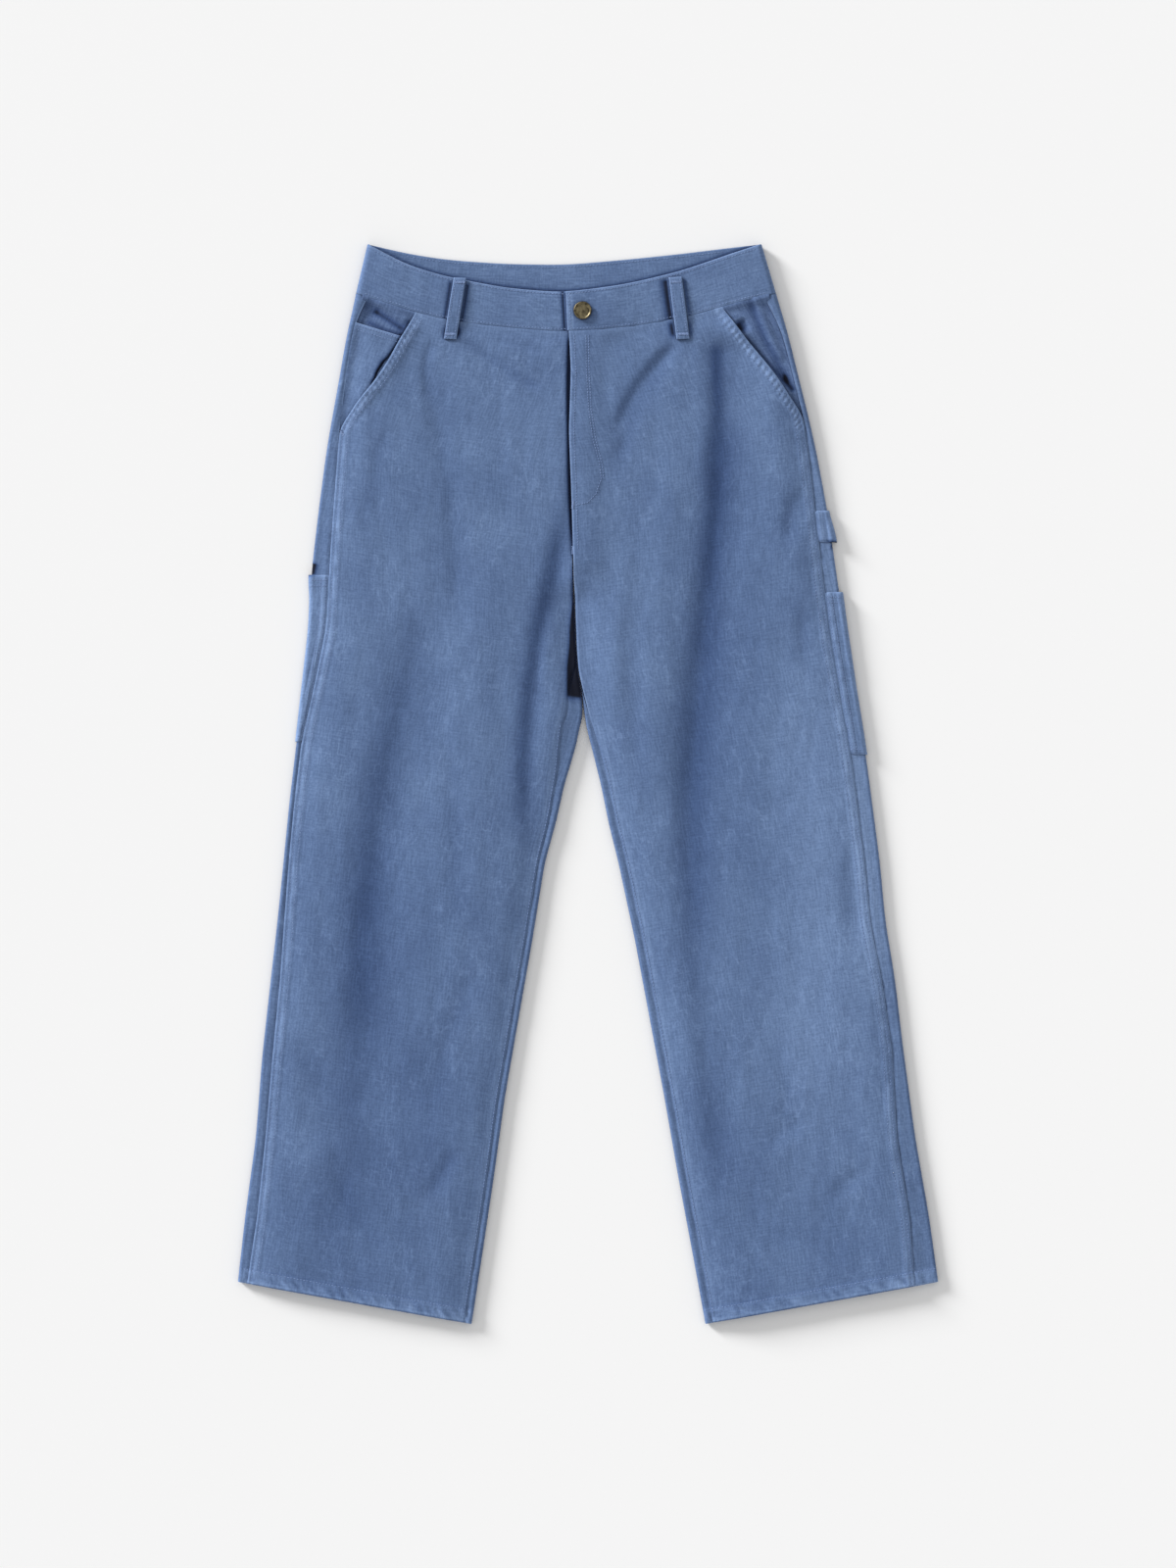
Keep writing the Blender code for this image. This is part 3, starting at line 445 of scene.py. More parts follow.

# %% [markdown]
# ## Folds
#
# The folds are listed as short routes down the cloth. Each has a size
# (below zero is a trough), a half-width on either side and a fade at its ends,
# so no two are alike. A fold also carries painted shade along its trough, or,
# where that value is below zero, a painted highlight. Some entries paint only,
# with no relief: near-black shade at gaps and shadow lines, and broad darker or
# paler patches. One slow random swell keeps the cloth between them from looking
# ironed.

# %% The fold list
# which piece, size, how much painted shade it gets (below zero: a painted highlight), half-widths
# toward -X and +X, fade at the upper and the lower end, and the route down the garment as (x, y)
FOLDS = (
    ("L", -1.4, 0.12, 10, 16, 60, 60,
     ((-158, 438), (-147, 351), (-139, 302), (-133, 253), (-130, 205), (-134, 146))),
    ("L", -2.6, 0.22, 18, 32, 190, 200,
     ((-163, 234), (-182, 107), (-199, 39), (-208, -10), (-218, -78), (-224, -136), (-228, -195),
     (-230, -253), (-233, -321), (-236, -409))),
    ("L", 0.0, 0.14, 26, 30, 60, 150,
     ((-180, 136), (-199, 39), (-214, -49), (-224, -136), (-228, -214), (-230, -302))),
    ("L", -2.7, 0.38, 10, 13, 110, 100,
     ((-23, 321), (-29, 253), (-39, 200), (-52, 146), (-60, 88), (-65, 29), (-65, -39), (-58, -97))),
    ("L", 0.0, 0.10, 18, 12, 90, 90, ((-25, 312), (-39, 205), (-54, 136), (-63, 78), (-68, 10), (-66, -49))),
    ("L", 1.6, 0.00, 30, 24, 90, 90, ((-90, 248), (-112, 97), (-118, -58), (-120, -180))),
    ("L", -1.0, 0.10, 10, 14, 60, 60, ((-136, 58), (-131, -49), (-129, -156))),
    ("L", -1.3, 0.16, 5, 6, 18, 18, ((-131, 448), (-117, 436), (-95, 421), (-68, 403), (-43, 390))),
    ("L", -0.9, 0.12, 5, 6, 14, 24, ((-148, 443), (-156, 436), (-162, 414), (-158, 370))),
    ("L", -0.7, 0.08, 5, 6, 14, 14, ((-97, 443), (-68, 436), (-39, 427))),
    ("L", -1.2, 0.12, 8, 9, 22, 22, ((-125, -356), (-144, -385), (-164, -419))),
    ("L", -0.6, 0.11, 36, 44, 30, 30, ((-292, -380), (-263, -411), (-224, -429))),
    ("L", 0.0, 0.20, 90, 80, 140, 140, ((-183, 0), (-193, -195), (-214, -390), (-224, -604))),
    ("L", 0.0, 0.12, 50, 60, 80, 100, ((-263, -370), (-286, -468), (-292, -604))),
    ("L", 0.0, 0.14, 30, 40, 80, 100, ((-141, -244), (-156, -341), (-170, -448))),
    ("L", 0.4, 0.00, 16, 16, 60, 60, ((-200, 136), (-216, 58), (-245, -78), (-255, -195), (-257, -273))),
    ("L", 0.8, -0.05, 6, 6, 30, 30, ((-33, 185), (-41, 134), (-47, 82))),
    ("L", 1.3, -0.04, 30, 24, 50, 50, ((-268, -341), (-275, -419), (-290, -497))),
    ("L", -0.9, 0.06, 10, 10, 30, 30, ((-300, -250), (-262, -300), (-220, -330))),
    ("L", -0.8, 0.06, 8, 9, 24, 24, ((-252, -380), (-230, -430), (-196, -469))),
    ("L", -0.9, 0.06, 9, 9, 26, 26, ((-110, -180), (-140, -250), (-150, -319))),
    ("L", -0.8, 0.80, 1.3, 3, 30, 6, ((-18, 321), (-17, 263), (-15, 222))),
    ("L", -2.4, 1.00, 2.6, 3.5, 14, 110,
     ((-19, 452), (-19, 429), (-20, 404), (-20, 375), (-19, 341), (-19, 302), (-17, 253), (-16, 219))),
    ("L", -1.6, 1.00, 2.8, 6, 20, 10, ((-14, 227), (-14, 190), (-15, 151), (-16, 117), (-16, 88))),
    ("L", -1.6, 1.00, 5.6, 8, 36, 7, ((-14, 183), (-14, 146), (-15, 107), (-15, 82))),
    ("L", 0.0, 1.00, 8, 8, 36, 9, ((-15, 144), (-14, 107), (-13, 80))),
    ("L", 0.0, 1.00, 4, 4, 3, 3, ((-271, 221), (-275, 206))),
    ("L", 0.0, 0.06, 22, 22, 80, 80, ((-255, -19), (-265, -97), (-271, -175))),
    ("L", -0.5, 0.10, 9, 9, 20, 20, ((-200, 360), (-214, 292), (-222, 234))),
    ("R", 0.0, 0.34, 6, 7, 14, 60, ((127, 443), (127, 409), (129, 375), (128, 331))),
    ("R", -3.7, 0.29, 14, 34, 24, 190,
     ((126, 450), (127, 409), (128, 370), (124, 331), (124, 292), (119, 234), (111, 175), (102, 117),
     (98, 58), (94, 0), (92, -58), (92, -117), (97, -175))),
    ("R", 0.0, 0.31, 16, 26, 50, 110,
     ((133, 380), (130, 292), (126, 234), (124, 175), (121, 117), (116, 58), (111, 0), (109, -58),
     (110, -117), (114, -195))),
    ("R", 0.0, 0.12, 32, 32, 90, 150, ((144, 195), (146, 97), (148, 0), (150, -97), (148, -195))),
    ("R", -1.6, 0.18, 13, 20, 110, 120,
     ((95, -49), (100, -156), (109, -244), (117, -312), (125, -390), (130, -468))),
    ("R", 0.0, 0.16, 40, 46, 90, 90, ((131, -253), (141, -370), (148, -487), (152, -604))),
    ("R", 0.0, 0.15, 60, 50, 70, 70, ((239, -380), (253, -458), (273, -604))),
    ("R", 0.0, 1.00, 3, 3, 2, 2, ((241, 238), (246, 235))),
    ("R", 0.0, 0.05, 26, 26, 60, 60, ((49, 292), (51, 175))),
    ("R", -2.0, 0.14, 8, 10, 24, 24, ((206, 302), (198, 273), (192, 234))),
    ("R", 0.0, 0.12, 30, 24, 40, 60, ((177, 321), (181, 234), (175, 136))),
    ("R", -1.2, 0.10, 8, 9, 28, 28, ((211, 185), (214, 146), (216, 107))),
    ("R", -1.5, 0.12, 9, 10, 40, 40, ((253, -49), (256, -107), (259, -166))),
    ("R", 0.9, -0.25, 14, 14, 70, 90,
     ((232, 351), (244, 234), (255, 107), (271, -29), (284, -156), (292, -234))),
    ("R", 0.0, -0.16, 46, 50, 120, 140, ((212, 156), (226, 0), (234, -136), (228, -253), (206, -390))),
    ("R", -1.6, 0.18, 6, 7, 20, 24, ((91, 443), (70, 427), (49, 401), (31, 370), (21, 341))),
    ("R", -1.0, 0.12, 8, 9, 24, 24, ((88, 436), (62, 397), (39, 351), (27, 312))),
    ("R", 0.0, 0.08, 26, 26, 40, 40, ((70, 429), (49, 390), (39, 341))),
    ("R", -0.8, 0.06, 12, 12, 60, 60, ((39, 175), (49, 39), (66, -78))),
    ("R", -1.0, 0.06, 8, 9, 24, 24, ((170, -365), (195, -346), (226, -329))),
    ("R", -1.0, 0.06, 8, 9, 24, 24, ((232, -421), (258, -397), (284, -378))),
    ("R", -0.8, 0.08, 4, 5, 10, 10, ((148, 144), (161, 141), (177, 134))),
    ("R", 1.3, 0.00, 16, 20, 90, 90, ((88, 370), (82, 273), (66, 127), (62, -49))),
    ("R", -0.9, 0.04, 9, 9, 30, 30, ((180, -240), (196, -300), (190, -360))),
    ("R", -0.8, 0.05, 8, 8, 26, 26, ((150, -399), (176, -440), (214, -463))),
    ("R", 1.0, 0.00, 10, 10, 40, 40, ((40, 250), (28, 150), (26, 60))),
    ("L", -0.4, 0.90, 1.8, 1.8, 8, 8, ((-141, 458), (-144, 439))),
    ("L", -0.4, 1.00, 2, 2.6, 8, 8, ((-127, 458), (-130, 439))),
    ("R", -0.4, 1.00, 4.4, 1.6, 8, 8, ((82, 463), (86, 440))),
    ("R", -0.4, 0.70, 1.4, 2, 8, 8, ((100, 463), (103, 440))),
    ("hipL", -0.9, 0.30, 7, 8, 6, 12, ((-222, 482), (-214, 469), (-210, 458))),
    ("hipL", 1.0, -0.10, 3, 3, 8, 10, ((-212, 481), (-197, 469), (-175, 458))),
    ("hipL", -1.0, 0.75, 3, 4, 6, 6, ((-215, 472), (-200, 462), (-182, 450))),
    ("hipL", -0.4, 0.60, 2.6, 2.4, 6, 3, ((-222, 461), (-206, 453), (-191, 447), (-182, 443))),
    ("hipL", -1.5, 1.00, 5, 7, 4, 4, ((-173, 461), (-179, 451), (-185, 441))),
    ("hipR", -2.6, 1.00, 5, 5.5, 5, 8, ((147, 461), (151, 453), (156, 445))),
    ("hipR", -1.0, 0.42, 2.2, 2.4, 10, 8, ((154, 446), (171, 427), (191, 404), (206, 388))),
    ("hipR", 1.2, -0.05, 4, 4, 10, 10, ((164, 487), (180, 448), (195, 417))),
    ("hipR", -0.8, 0.50, 5, 4, 10, 10, ((159, 484), (173, 448), (187, 421), (201, 395))),
    ("hipR", -0.6, 0.62, 2.6, 2.8, 8, 4, ((193, 411), (199, 399), (206, 389))),
    ("coin", -2.4, 1.00, 2.7, 7, 4, 8,
     ((-181, 449), (-185, 443), (-191, 433), (-198, 424), (-205, 414), (-210, 404), (-217, 394))),
    ("coin", -0.6, 0.90, 4.2, 6, 8, 7, ((-198, 424), (-205, 414), (-212, 402))),
    ("coin", -0.5, 0.20, 5, 5, 14, 14, ((-238, 443), (-242, 409), (-247, 370))),
    ("band", 0.0, -0.06, 26, 26, 4, 4, ((129, 506), (142, 453))),
    ("band", -0.3, 0.90, 2.2, 1.9, 4, 4, ((-136, 501), (-140, 475), (-145, 448))),
    ("band", -0.3, 0.90, 1.8, 2.4, 4, 4, ((-119, 499), (-123, 473), (-128, 446))),
    ("band", -0.4, 0.95, 2.1, 1.9, 2, 2, ((-26, 503), (-25, 482), (-23, 448))),
    ("band", -0.9, 1.00, 6, 2, 4, 4, ((77, 503), (80, 479), (85, 448))),
    ("band", -0.3, 0.65, 1.5, 2.2, 4, 4, ((95, 503), (99, 477), (103, 448))),
)
ROUTE_STEP = 9


def smoothed_route(points):
    """The route's points joined by a smooth curve and read off at even steps."""
    points = np.array(points, float)
    reach = np.concatenate(([0.0], np.cumsum(np.hypot(*np.diff(points, axis=0).T))))
    at = np.arange(0.0, reach[-1], 1.0)
    line = np.stack([np.interp(at, reach, points[:, axis]) for axis in (0, 1)], axis=1)
    ease = int(min(24, reach[-1] / 6))
    kernel = np.hanning(2 * ease + 1)
    kernel /= kernel.sum()
    padded = np.pad(line, ((ease, ease), (0, 0)), mode="reflect", reflect_type="odd")
    line = np.stack([np.convolve(padded[:, axis], kernel, "valid") for axis in (0, 1)], axis=1)
    stride = max(1, min(ROUTE_STEP, int(reach[-1] / 5)))
    return np.concatenate((line[::stride], line[-1:])), stride, reach[-1]


ROUTES = [fold[:7] + smoothed_route(fold[7]) for fold in FOLDS]
DEEP_FOLD = -1.5
LEAN = 0.7
print("folds", len(ROUTES))


# %% Heights of the cloth's upper surface
def step(low, high, value):
    """0 below low, 1 above high, with a soft step between."""
    share = np.clip((value - low) / (high - low), 0.0, 1.0)
    return share * share * (3.0 - 2.0 * share)


def bump(value, width):
    return np.exp(-(value / width) ** 2)


CELLS = 97


def mottle(x, y, size, seed):
    """Smooth random relief between -1 and 1, about `size` mm from bump to bump."""
    lattice = np.random.default_rng(seed).uniform(-1.0, 1.0, (CELLS, CELLS))
    across, up = x / size + 31.7, y / size + 17.3
    i, j = np.floor(across).astype(int), np.floor(up).astype(int)
    u, v = step(0.0, 1.0, across - i), step(0.0, 1.0, up - j)

    def line(row):
        return lattice[i % CELLS, row % CELLS] * (1.0 - u) + lattice[(i + 1) % CELLS, row % CELLS] * u

    return line(j) * (1.0 - v) + line(j + 1) * v


def along_route(line, stride, px, py):
    """For each point: signed distance from a route (above zero on its +X side) and place along it."""
    best, along, side = np.full(px.shape, 1e9), np.zeros(px.shape), np.ones(px.shape)
    for k in range(len(line) - 1):
        a, d = line[k], line[k + 1] - line[k]
        span = max(1e-6, float(np.hypot(*d)))
        share = np.clip(((px - a[0]) * d[0] + (py - a[1]) * d[1]) / span ** 2, 0.0, 1.0)
        off_x, off_y = px - a[0] - share * d[0], py - a[1] - share * d[1]
        gap = np.hypot(off_x, off_y)
        closer = gap < best
        best = np.where(closer, gap, best)
        along = np.where(closer, k * stride + share * span, along)
        side = np.where(closer, np.sign(d[0] * off_y - d[1] * off_x), side)
    return best * side, along


def fold_relief(piece, x, y):
    """Height and painted shade (below zero: painted highlight) that a piece's folds give each point.

    A deep fold's route is its steep side, so its bottom lies a little further to +X.
    """
    height = np.zeros(np.broadcast(x, y).shape)
    painted_shade = np.zeros(height.shape)
    x, y = np.broadcast_to(x, height.shape), np.broadcast_to(y, height.shape)
    for owner, size, shade_paint, wide_left, wide_right, fade_top, fade_low, line, stride, length in ROUTES:
        if owner != piece:
            continue
        reach = max(wide_left, wide_right) * 2.8
        low, high = line.min(axis=0) - reach, line.max(axis=0) + reach
        near = (x > low[0]) & (x < high[0]) & (y > low[1]) & (y < high[1])
        off, along = along_route(line, stride, x[near], y[near])
        ends = step(0.0, fade_top, along) * (1.0 - step(length - fade_low, length, along))
        across = off - (LEAN * wide_left if size <= DEEP_FOLD else 0.0)
        height[near] += size * ends * bump(across, np.where(across > 0.0, wide_right, wide_left))
        shade_right = min(wide_right, 1.4 * wide_left)
        painted_shade[near] += shade_paint * ends * bump(off, np.where(off > 0.0, shade_right, wide_left))
    return height, painted_shade


def roll_share(y):
    """0 where the halves meet flat at the centre, 1 where each leg is closed."""
    return 1.0 - step(CROTCH_LOW, CROTCH_TOP, y)


def swell(inset):
    return 1.0 - bump(np.maximum(0.0, inset), 20.0)


def crumple(x, y):
    """Soft unevenness of washed cloth: broad swells, and narrow ones drawn out along the leg."""
    drawn = 0.26 * mottle(x + 0.06 * y, 0.24 * y, 12.0, 14) + 0.16 * mottle(x - 0.1 * y, 0.3 * y, 7.0, 15)
    return drawn + 0.30 * mottle(x, y, 46.0, 11) + 0.10 * mottle(x + 0.3 * y, y, 19.0, 12)


def top_height(half, x, y):
    """Height of the garment's upper surface above the floor."""
    across = half.side * x
    radius = half.radius(y)
    from_outer = half.out(y) - across - radius
    from_inner = across - half.inn(y) - EDGE_RADIUS
    closed = roll_share(y)
    shape = swell(from_outer) * (1.0 - closed * (1.0 - swell(from_inner)))
    nearest = np.minimum(from_outer, np.where(closed > 0.5, from_inner, 99.0))
    fold_shape = shape + (1.0 - shape) * 0.35 * step(0.0, 8.0, nearest)
    folds = fold_relief(half.name, x, y)[0] + crumple(x, y) * step(0.0, 6.0, nearest)
    height = 2.0 * radius + shape * loft(y) + fold_shape * folds
    return np.maximum(height, CLOTH * 2.0 + 1.2) + fly_raise(half, x, y)


def fly_raise(half, x, y):
    """The right half laps over the left one at the fly."""
    if half is left:
        return 0.0
    past_lap = x + left.inn(y) - FLY_LAP - 4.0
    return FLY_RAISE * step(FLY_BOTTOM - 23.0, FLY_BOTTOM - 3.0, y) * bump(np.maximum(0.0, past_lap), 18.0)


# %% [markdown]
# ## Rows of cloth
#
# A row runs across one half, from its outer edge to its inner edge. Near the
# waist it follows the waistband's curve; further down it slopes to the hem. The
# rows lie closer together at the waist, the crotch and the hem, where the shape
# changes fastest.

# %% Rows
LEG_ROWS = 322


def leg_rows():
    steps = np.linspace(0.0, 1.0, 2000)
    crowd = 1.0 + 1.6 * bump(steps - 0.262, 0.035) + 3.4 * bump(1.0 - steps, 0.018)
    crowd += 2.0 * (1.0 - step(0.115, 0.165, steps))
    total = np.cumsum(crowd)
    total -= total[0]
    return np.interp(np.linspace(0.0, total[-1], LEG_ROWS + 1), total, steps)


ROWS = leg_rows()[:, None]


def row_ends(half, face, share):
    """The outer and inner ends of the rows at `share` of the way down."""
    settle = step(0.0, 0.30, share)
    drop = WAIST_DROP[face] + (HEM_DROP - WAIST_DROP[face]) * settle
    y_outer = WAIST_Y - ROW_INSET + (HEM_Y - WAIST_Y + ROW_INSET) * share
    y_inner = y_outer - drop
    return y_outer, y_inner, half.side * half.out(y_outer), half.side * half.inn(y_inner)


def row_y(half, face, share, x):
    """How high up the garment each row lies at x."""
    y_outer, y_inner, x_outer, x_inner = row_ends(half, face, share)
    across = (x - x_outer) / (x_inner - x_outer)
    curve = 1.0 - step(0.0, 0.30, share)
    band_share = (x - BAND_LOW_X[0]) / (BAND_LOW_X[1] - BAND_LOW_X[0])
    waist_line = WAIST_Y - WAIST_DROP[face] * across
    dip = band_edge[face + "_low"](band_share) - waist_line
    return y_outer + (y_inner - y_outer) * across + curve * dip


def outer_turn(half, y, arc, lift=0.0):
    """Points on the rounded outer edge, `arc` mm up from its middle, moved out by `lift`."""
    radius = half.radius(y)
    quarter = radius * math.pi / 2.0
    angle = np.clip(arc / radius, -math.pi / 2.0, math.pi / 2.0)
    past = np.abs(arc) - quarter
    inset = np.where(past > 0.0, radius + past, radius - (radius + lift) * np.cos(angle))
    x = half.side * (half.out(y) - inset)
    flat = np.where(arc > 0.0, top_height(half, x, y) + lift, -lift)
    return x, np.where(past > 0.0, flat, radius + (radius + lift) * np.sin(angle))


def bent_strip(arc, bend):
    """Inset and drop of points `arc` mm from the end of an edge strip turned down by `bend`."""
    quarter = EDGE_RADIUS * math.pi / 2.0
    bend = np.maximum(bend, 1e-3)
    tight = quarter / bend
    turned = bend * np.clip((quarter - arc) / quarter, 0.0, 1.0)
    inset = tight * (np.sin(bend) - np.sin(turned)) + np.maximum(0.0, arc - quarter)
    return inset, tight * (1.0 - np.cos(turned))


def inner_turn(half, y, arc):
    """Points of the inner edge, `arc` mm up (or, below zero, down) from its middle."""
    inset, drop = bent_strip(np.abs(arc), roll_share(y) * math.pi / 2.0)
    x = half.side * (half.inn(y) + inset)
    return x, np.where(arc > 0.0, top_height(half, x, y) - drop, drop)


print("rows", len(ROWS))

# %% [markdown]
# ## Sewn edges
#
# A flat-felled seam folds two or three layers together, so a ridge about 10 mm
# wide runs beside it with a stitched groove near each side. The stitching draws
# the cloth up into small puckers. Hems do the same across the leg.

# %% Seam and hem relief
STITCH_NEAR, STITCH_FAR = 3.6, 8.8
SEAM_RIDGE = 0.55
SEAM_OVERLAP = 0.7
ROPE_PITCH = 5.2


def seam_relief(inset, along, seed, strength=1.0):
    """Relief beside a sewn edge: a dip at the edge, a ridge and two stitched grooves with puckers."""
    ridge = SEAM_RIDGE * (1.0 - step(STITCH_FAR + 0.4, STITCH_FAR + 2.6, inset))
    dip = -0.35 * bump(inset, 0.9)
    grooves = -0.26 * (bump(inset - STITCH_NEAR, 0.8) + bump(inset - STITCH_FAR, 0.9))
    pucker = 0.30 * mottle(along, inset * 0.6, 6.5, seed) * bump(inset - 6.0, 5.0)
    pucker += 0.22 * mottle(along + inset, inset * 0.3, 13.0, seed + 1) * bump(inset - 9.0, 8.0)
    return strength * (ridge + dip + grooves + pucker)


def rope(inset, along, seed):
    """Slanting ridges that the stitching draws up in a turned edge."""
    place = (along + 0.8 * inset) / ROPE_PITCH + 0.5 * mottle(along, inset, 30.0, seed)
    return np.sin(2.0 * math.pi * place) * bump(inset - 6.0, 4.2)


def hem_relief(above_edge, along, seed):
    """The turned-up hem: one more layer, a stitched groove on top, and slanting ropes of cloth."""
    layer = 0.75 * (1.0 - step(HEM_DEPTH - 1.0, HEM_DEPTH + 2.0, above_edge))
    groove = -0.35 * bump(above_edge - HEM_DEPTH + 0.6, 1.0)
    rope_place = (along + 0.9 * above_edge) / 9.5 + 0.9 * mottle(along, above_edge, 26.0, seed)
    strength = 0.30 + 0.22 * mottle(along, above_edge, 21.0, seed + 2)
    ropes = strength * np.sin(2.0 * math.pi * rope_place) * bump(above_edge - 6.0, 7.0)
    pucker = 0.30 * mottle(along, above_edge * 0.5, 8.0, seed + 1) * bump(above_edge - HEM_DEPTH, 9.0)
    return layer + groove + ropes + pucker - 0.6 * bump(above_edge, 1.2)


def hem_wear(above_edge, inset, along, seed):
    """Where a hem rubs pale: in chunks along the rope, and most at the corners."""
    chunks = 0.5 + 0.9 * mottle(along + 0.9 * above_edge, above_edge * 0.5, 5.5, seed)
    worn = 0.56 * chunks * bump(above_edge - 5.0, 6.0) + 0.5 * bump(above_edge - 2.4, 1.3)
    return worn + 0.30 * bump(above_edge, 17.0) * bump(inset, 20.0)


def waist_relief(below_seam, along, seed):
    """The panel dips into the waistband's seam and puckers under it."""
    pucker = 0.34 * mottle(along, below_seam * 0.25, 9.0, seed) * bump(below_seam - 3.0, 9.0)
    return pucker - 0.3 * bump(below_seam, 1.6)


# %% [markdown]
# ## Making one sheet
#
# Every cloth piece starts as a grid from `create_grid`. Its corners are moved to
# the worked-out points, a UV map in metres of cloth is added for the weave, and
# Solidify gives it a wall. A small bevel rounds the cut edge.

# %% Sheet maker
RIM_ANGLE_DEG = 55.0


def lay_cloth(name, points, wall, material, grain, wear_and_highlight, flip=False, walls=None, soften=0.35, painted_shade=None):
    """A sheet of cloth on a grid of points (rows, columns, xyz in mm), its wall on the inner side.

    `walls` gives a share of the wall at each point, `soften` the rounding of the cut edge in mm.
    """
    rows, columns = points.shape[0] - 1, points.shape[1] - 1
    shape = bmesh.new()
    bmesh.ops.create_grid(shape, x_segments=columns, y_segments=rows, size=1.0)
    if flip:
        bmesh.ops.reverse_faces(shape, faces=shape.faces)
    mesh = mesh_from(name, shape)
    places = np.empty(len(mesh.vertices) * 3)
    mesh.vertices.foreach_get("co", places)
    i = np.rint((places[0::3] + 1.0) / 2.0 * columns).astype(int)
    j = np.rint((places[1::3] + 1.0) / 2.0 * rows).astype(int)
    mesh.vertices.foreach_set("co", (points[j, i] * MM).ravel())
    corners = np.empty(len(mesh.loops), dtype=np.int64)
    mesh.loops.foreach_get("vertex_index", corners)
    uv = mesh.uv_layers.new(name="cloth")
    uv.data.foreach_set("uv", (grain[j, i] * MM)[corners].ravel())
    for attribute, values in (("wear_and_highlight", wear_and_highlight), ("painted_shade", 0.0 * wear_and_highlight if painted_shade is None else painted_shade)):
        paint = mesh.attributes.new(attribute, "FLOAT", "POINT")
        paint.data.foreach_set("value", np.clip(values[j, i], 0.0, 1.0))
    made = placed(name, mesh, material)
    solid = made.modifiers.new("wall", "SOLIDIFY")
    solid.thickness = wall * MM
    solid.offset = -1.0
    solid.use_even_offset = True
    if walls is not None:
        group = made.vertex_groups.new(name="wall")
        for share in np.unique(np.round(walls, 2)):
            chosen = np.nonzero(np.round(walls[j, i], 2) == share)[0]
            group.add([int(index) for index in chosen], float(share), "REPLACE")
        solid.vertex_group = "wall"
    rounded = made.modifiers.new("soft_rim", "BEVEL")
    rounded.width = soften * MM
    rounded.segments = 2
    rounded.limit_method = "ANGLE"
    rounded.angle_limit = math.radians(RIM_ANGLE_DEG)
    rounded.harden_normals = False
    return made


# The right half's weave is shifted by this many mm, so that the halves don't show the same streaks.
GRAIN_SHIFT = 700.0


def cloth_grain(points, half=None):
    """UV in mm of cloth: distance across each row, and down the middle of the sheet."""
    across = np.linalg.norm(np.diff(points, axis=1), axis=2)
    across = np.concatenate((np.zeros((len(points), 1)), np.cumsum(across, axis=1)), axis=1)
    middle = points.shape[1] // 2
    across = across - across[:, middle:middle + 1]
    down = np.linalg.norm(np.diff(points[:, middle], axis=0), axis=1)
    down = np.concatenate(([0.0], np.cumsum(down)))[:, None] + 0.0 * across
    shift = GRAIN_SHIFT if half is right else 0.0
    return np.stack((across + shift, -down), axis=2)


# %% [markdown]
# ## Front panels
#
# Each front panel is the top of its leg. Its outer edge is the slant pocket's
# edge near the waist and the outseam below. Its inner edge laps at the fly, then
# rolls down between the legs.

# %% Front panels
EDGE_STEPS = np.array([0.0, 0.5, 1.0, 1.6, 2.3, 3.0, 3.6, 4.2, 5.0, 6.0, 7.2, 8.2, 8.8, 9.4, 10.3, 11.4,
                       12.8, 15.0])
MIDDLE_COLUMNS = 86
# The fly's J-shaped stitching as (x, y); the facing behind it lifts the cloth inside the line.
FLY_LINE = ((-2.0, 446.0), (-1.5, 410.0), (0.6, 372.0), (5.0, 342.0), (11.5, 318.0), (13.2, 303.0),
            (8.0, 288.0), (0.0, 279.5), (-14.0, 276.0))
MOUTH_LIFT = {left: 1.9, right: 2.2}
BAND_STEP = 0.5
MOUTH_BOW = {left: 2.4, right: 0.6}


def mouth_lift(half, x, edge, y_outer):
    """The pocket's front edge stands a little off the cloth under it."""
    window = step(360.0, 400.0, y_outer) * (1.0 - 0.75 * step(470.0, 486.0, y_outer))
    return MOUTH_LIFT[half] * window * bump(x - edge, 12.0)


def fly_facing(x, y):
    """The layer behind the fly, inside its J-shaped stitching, lifts the cloth a little."""
    line_y = [point[1] for point in FLY_LINE[:6]][::-1]
    line_x = [point[0] for point in FLY_LINE[:6]][::-1]
    edge = np.interp(y, line_y, line_x) - 15.0 * step(296.0, 277.0, y)
    inside = 1.0 - step(-0.6, 1.8, x - edge)
    groove = -0.3 * bump(x - edge + 0.4, 0.9)
    return (0.5 * inside + groove) * step(276.0, 282.0, y)


def band_front_height(x, lapped):
    """Height of the band's upper surface; the lapped end lies higher, over the end beneath it."""
    raised = BAND_RAISE * bump(np.maximum(0.0, x - 14.0), 30.0) if lapped else 0.0 * x
    return 2.0 * BAND_RADIUS + 0.6 + raised


def tucked_under_band(x, y, z, below_seam, half, reach=11.0):
    """The cloth meets the seam just below the band's surface, and its top row runs in under it."""
    meet = (band_front_height(x, half is right) - BAND_STEP - z) * bump(below_seam, reach)
    tuck = np.zeros_like(y)
    tuck[0] = 1.3
    return z + meet, y + tuck


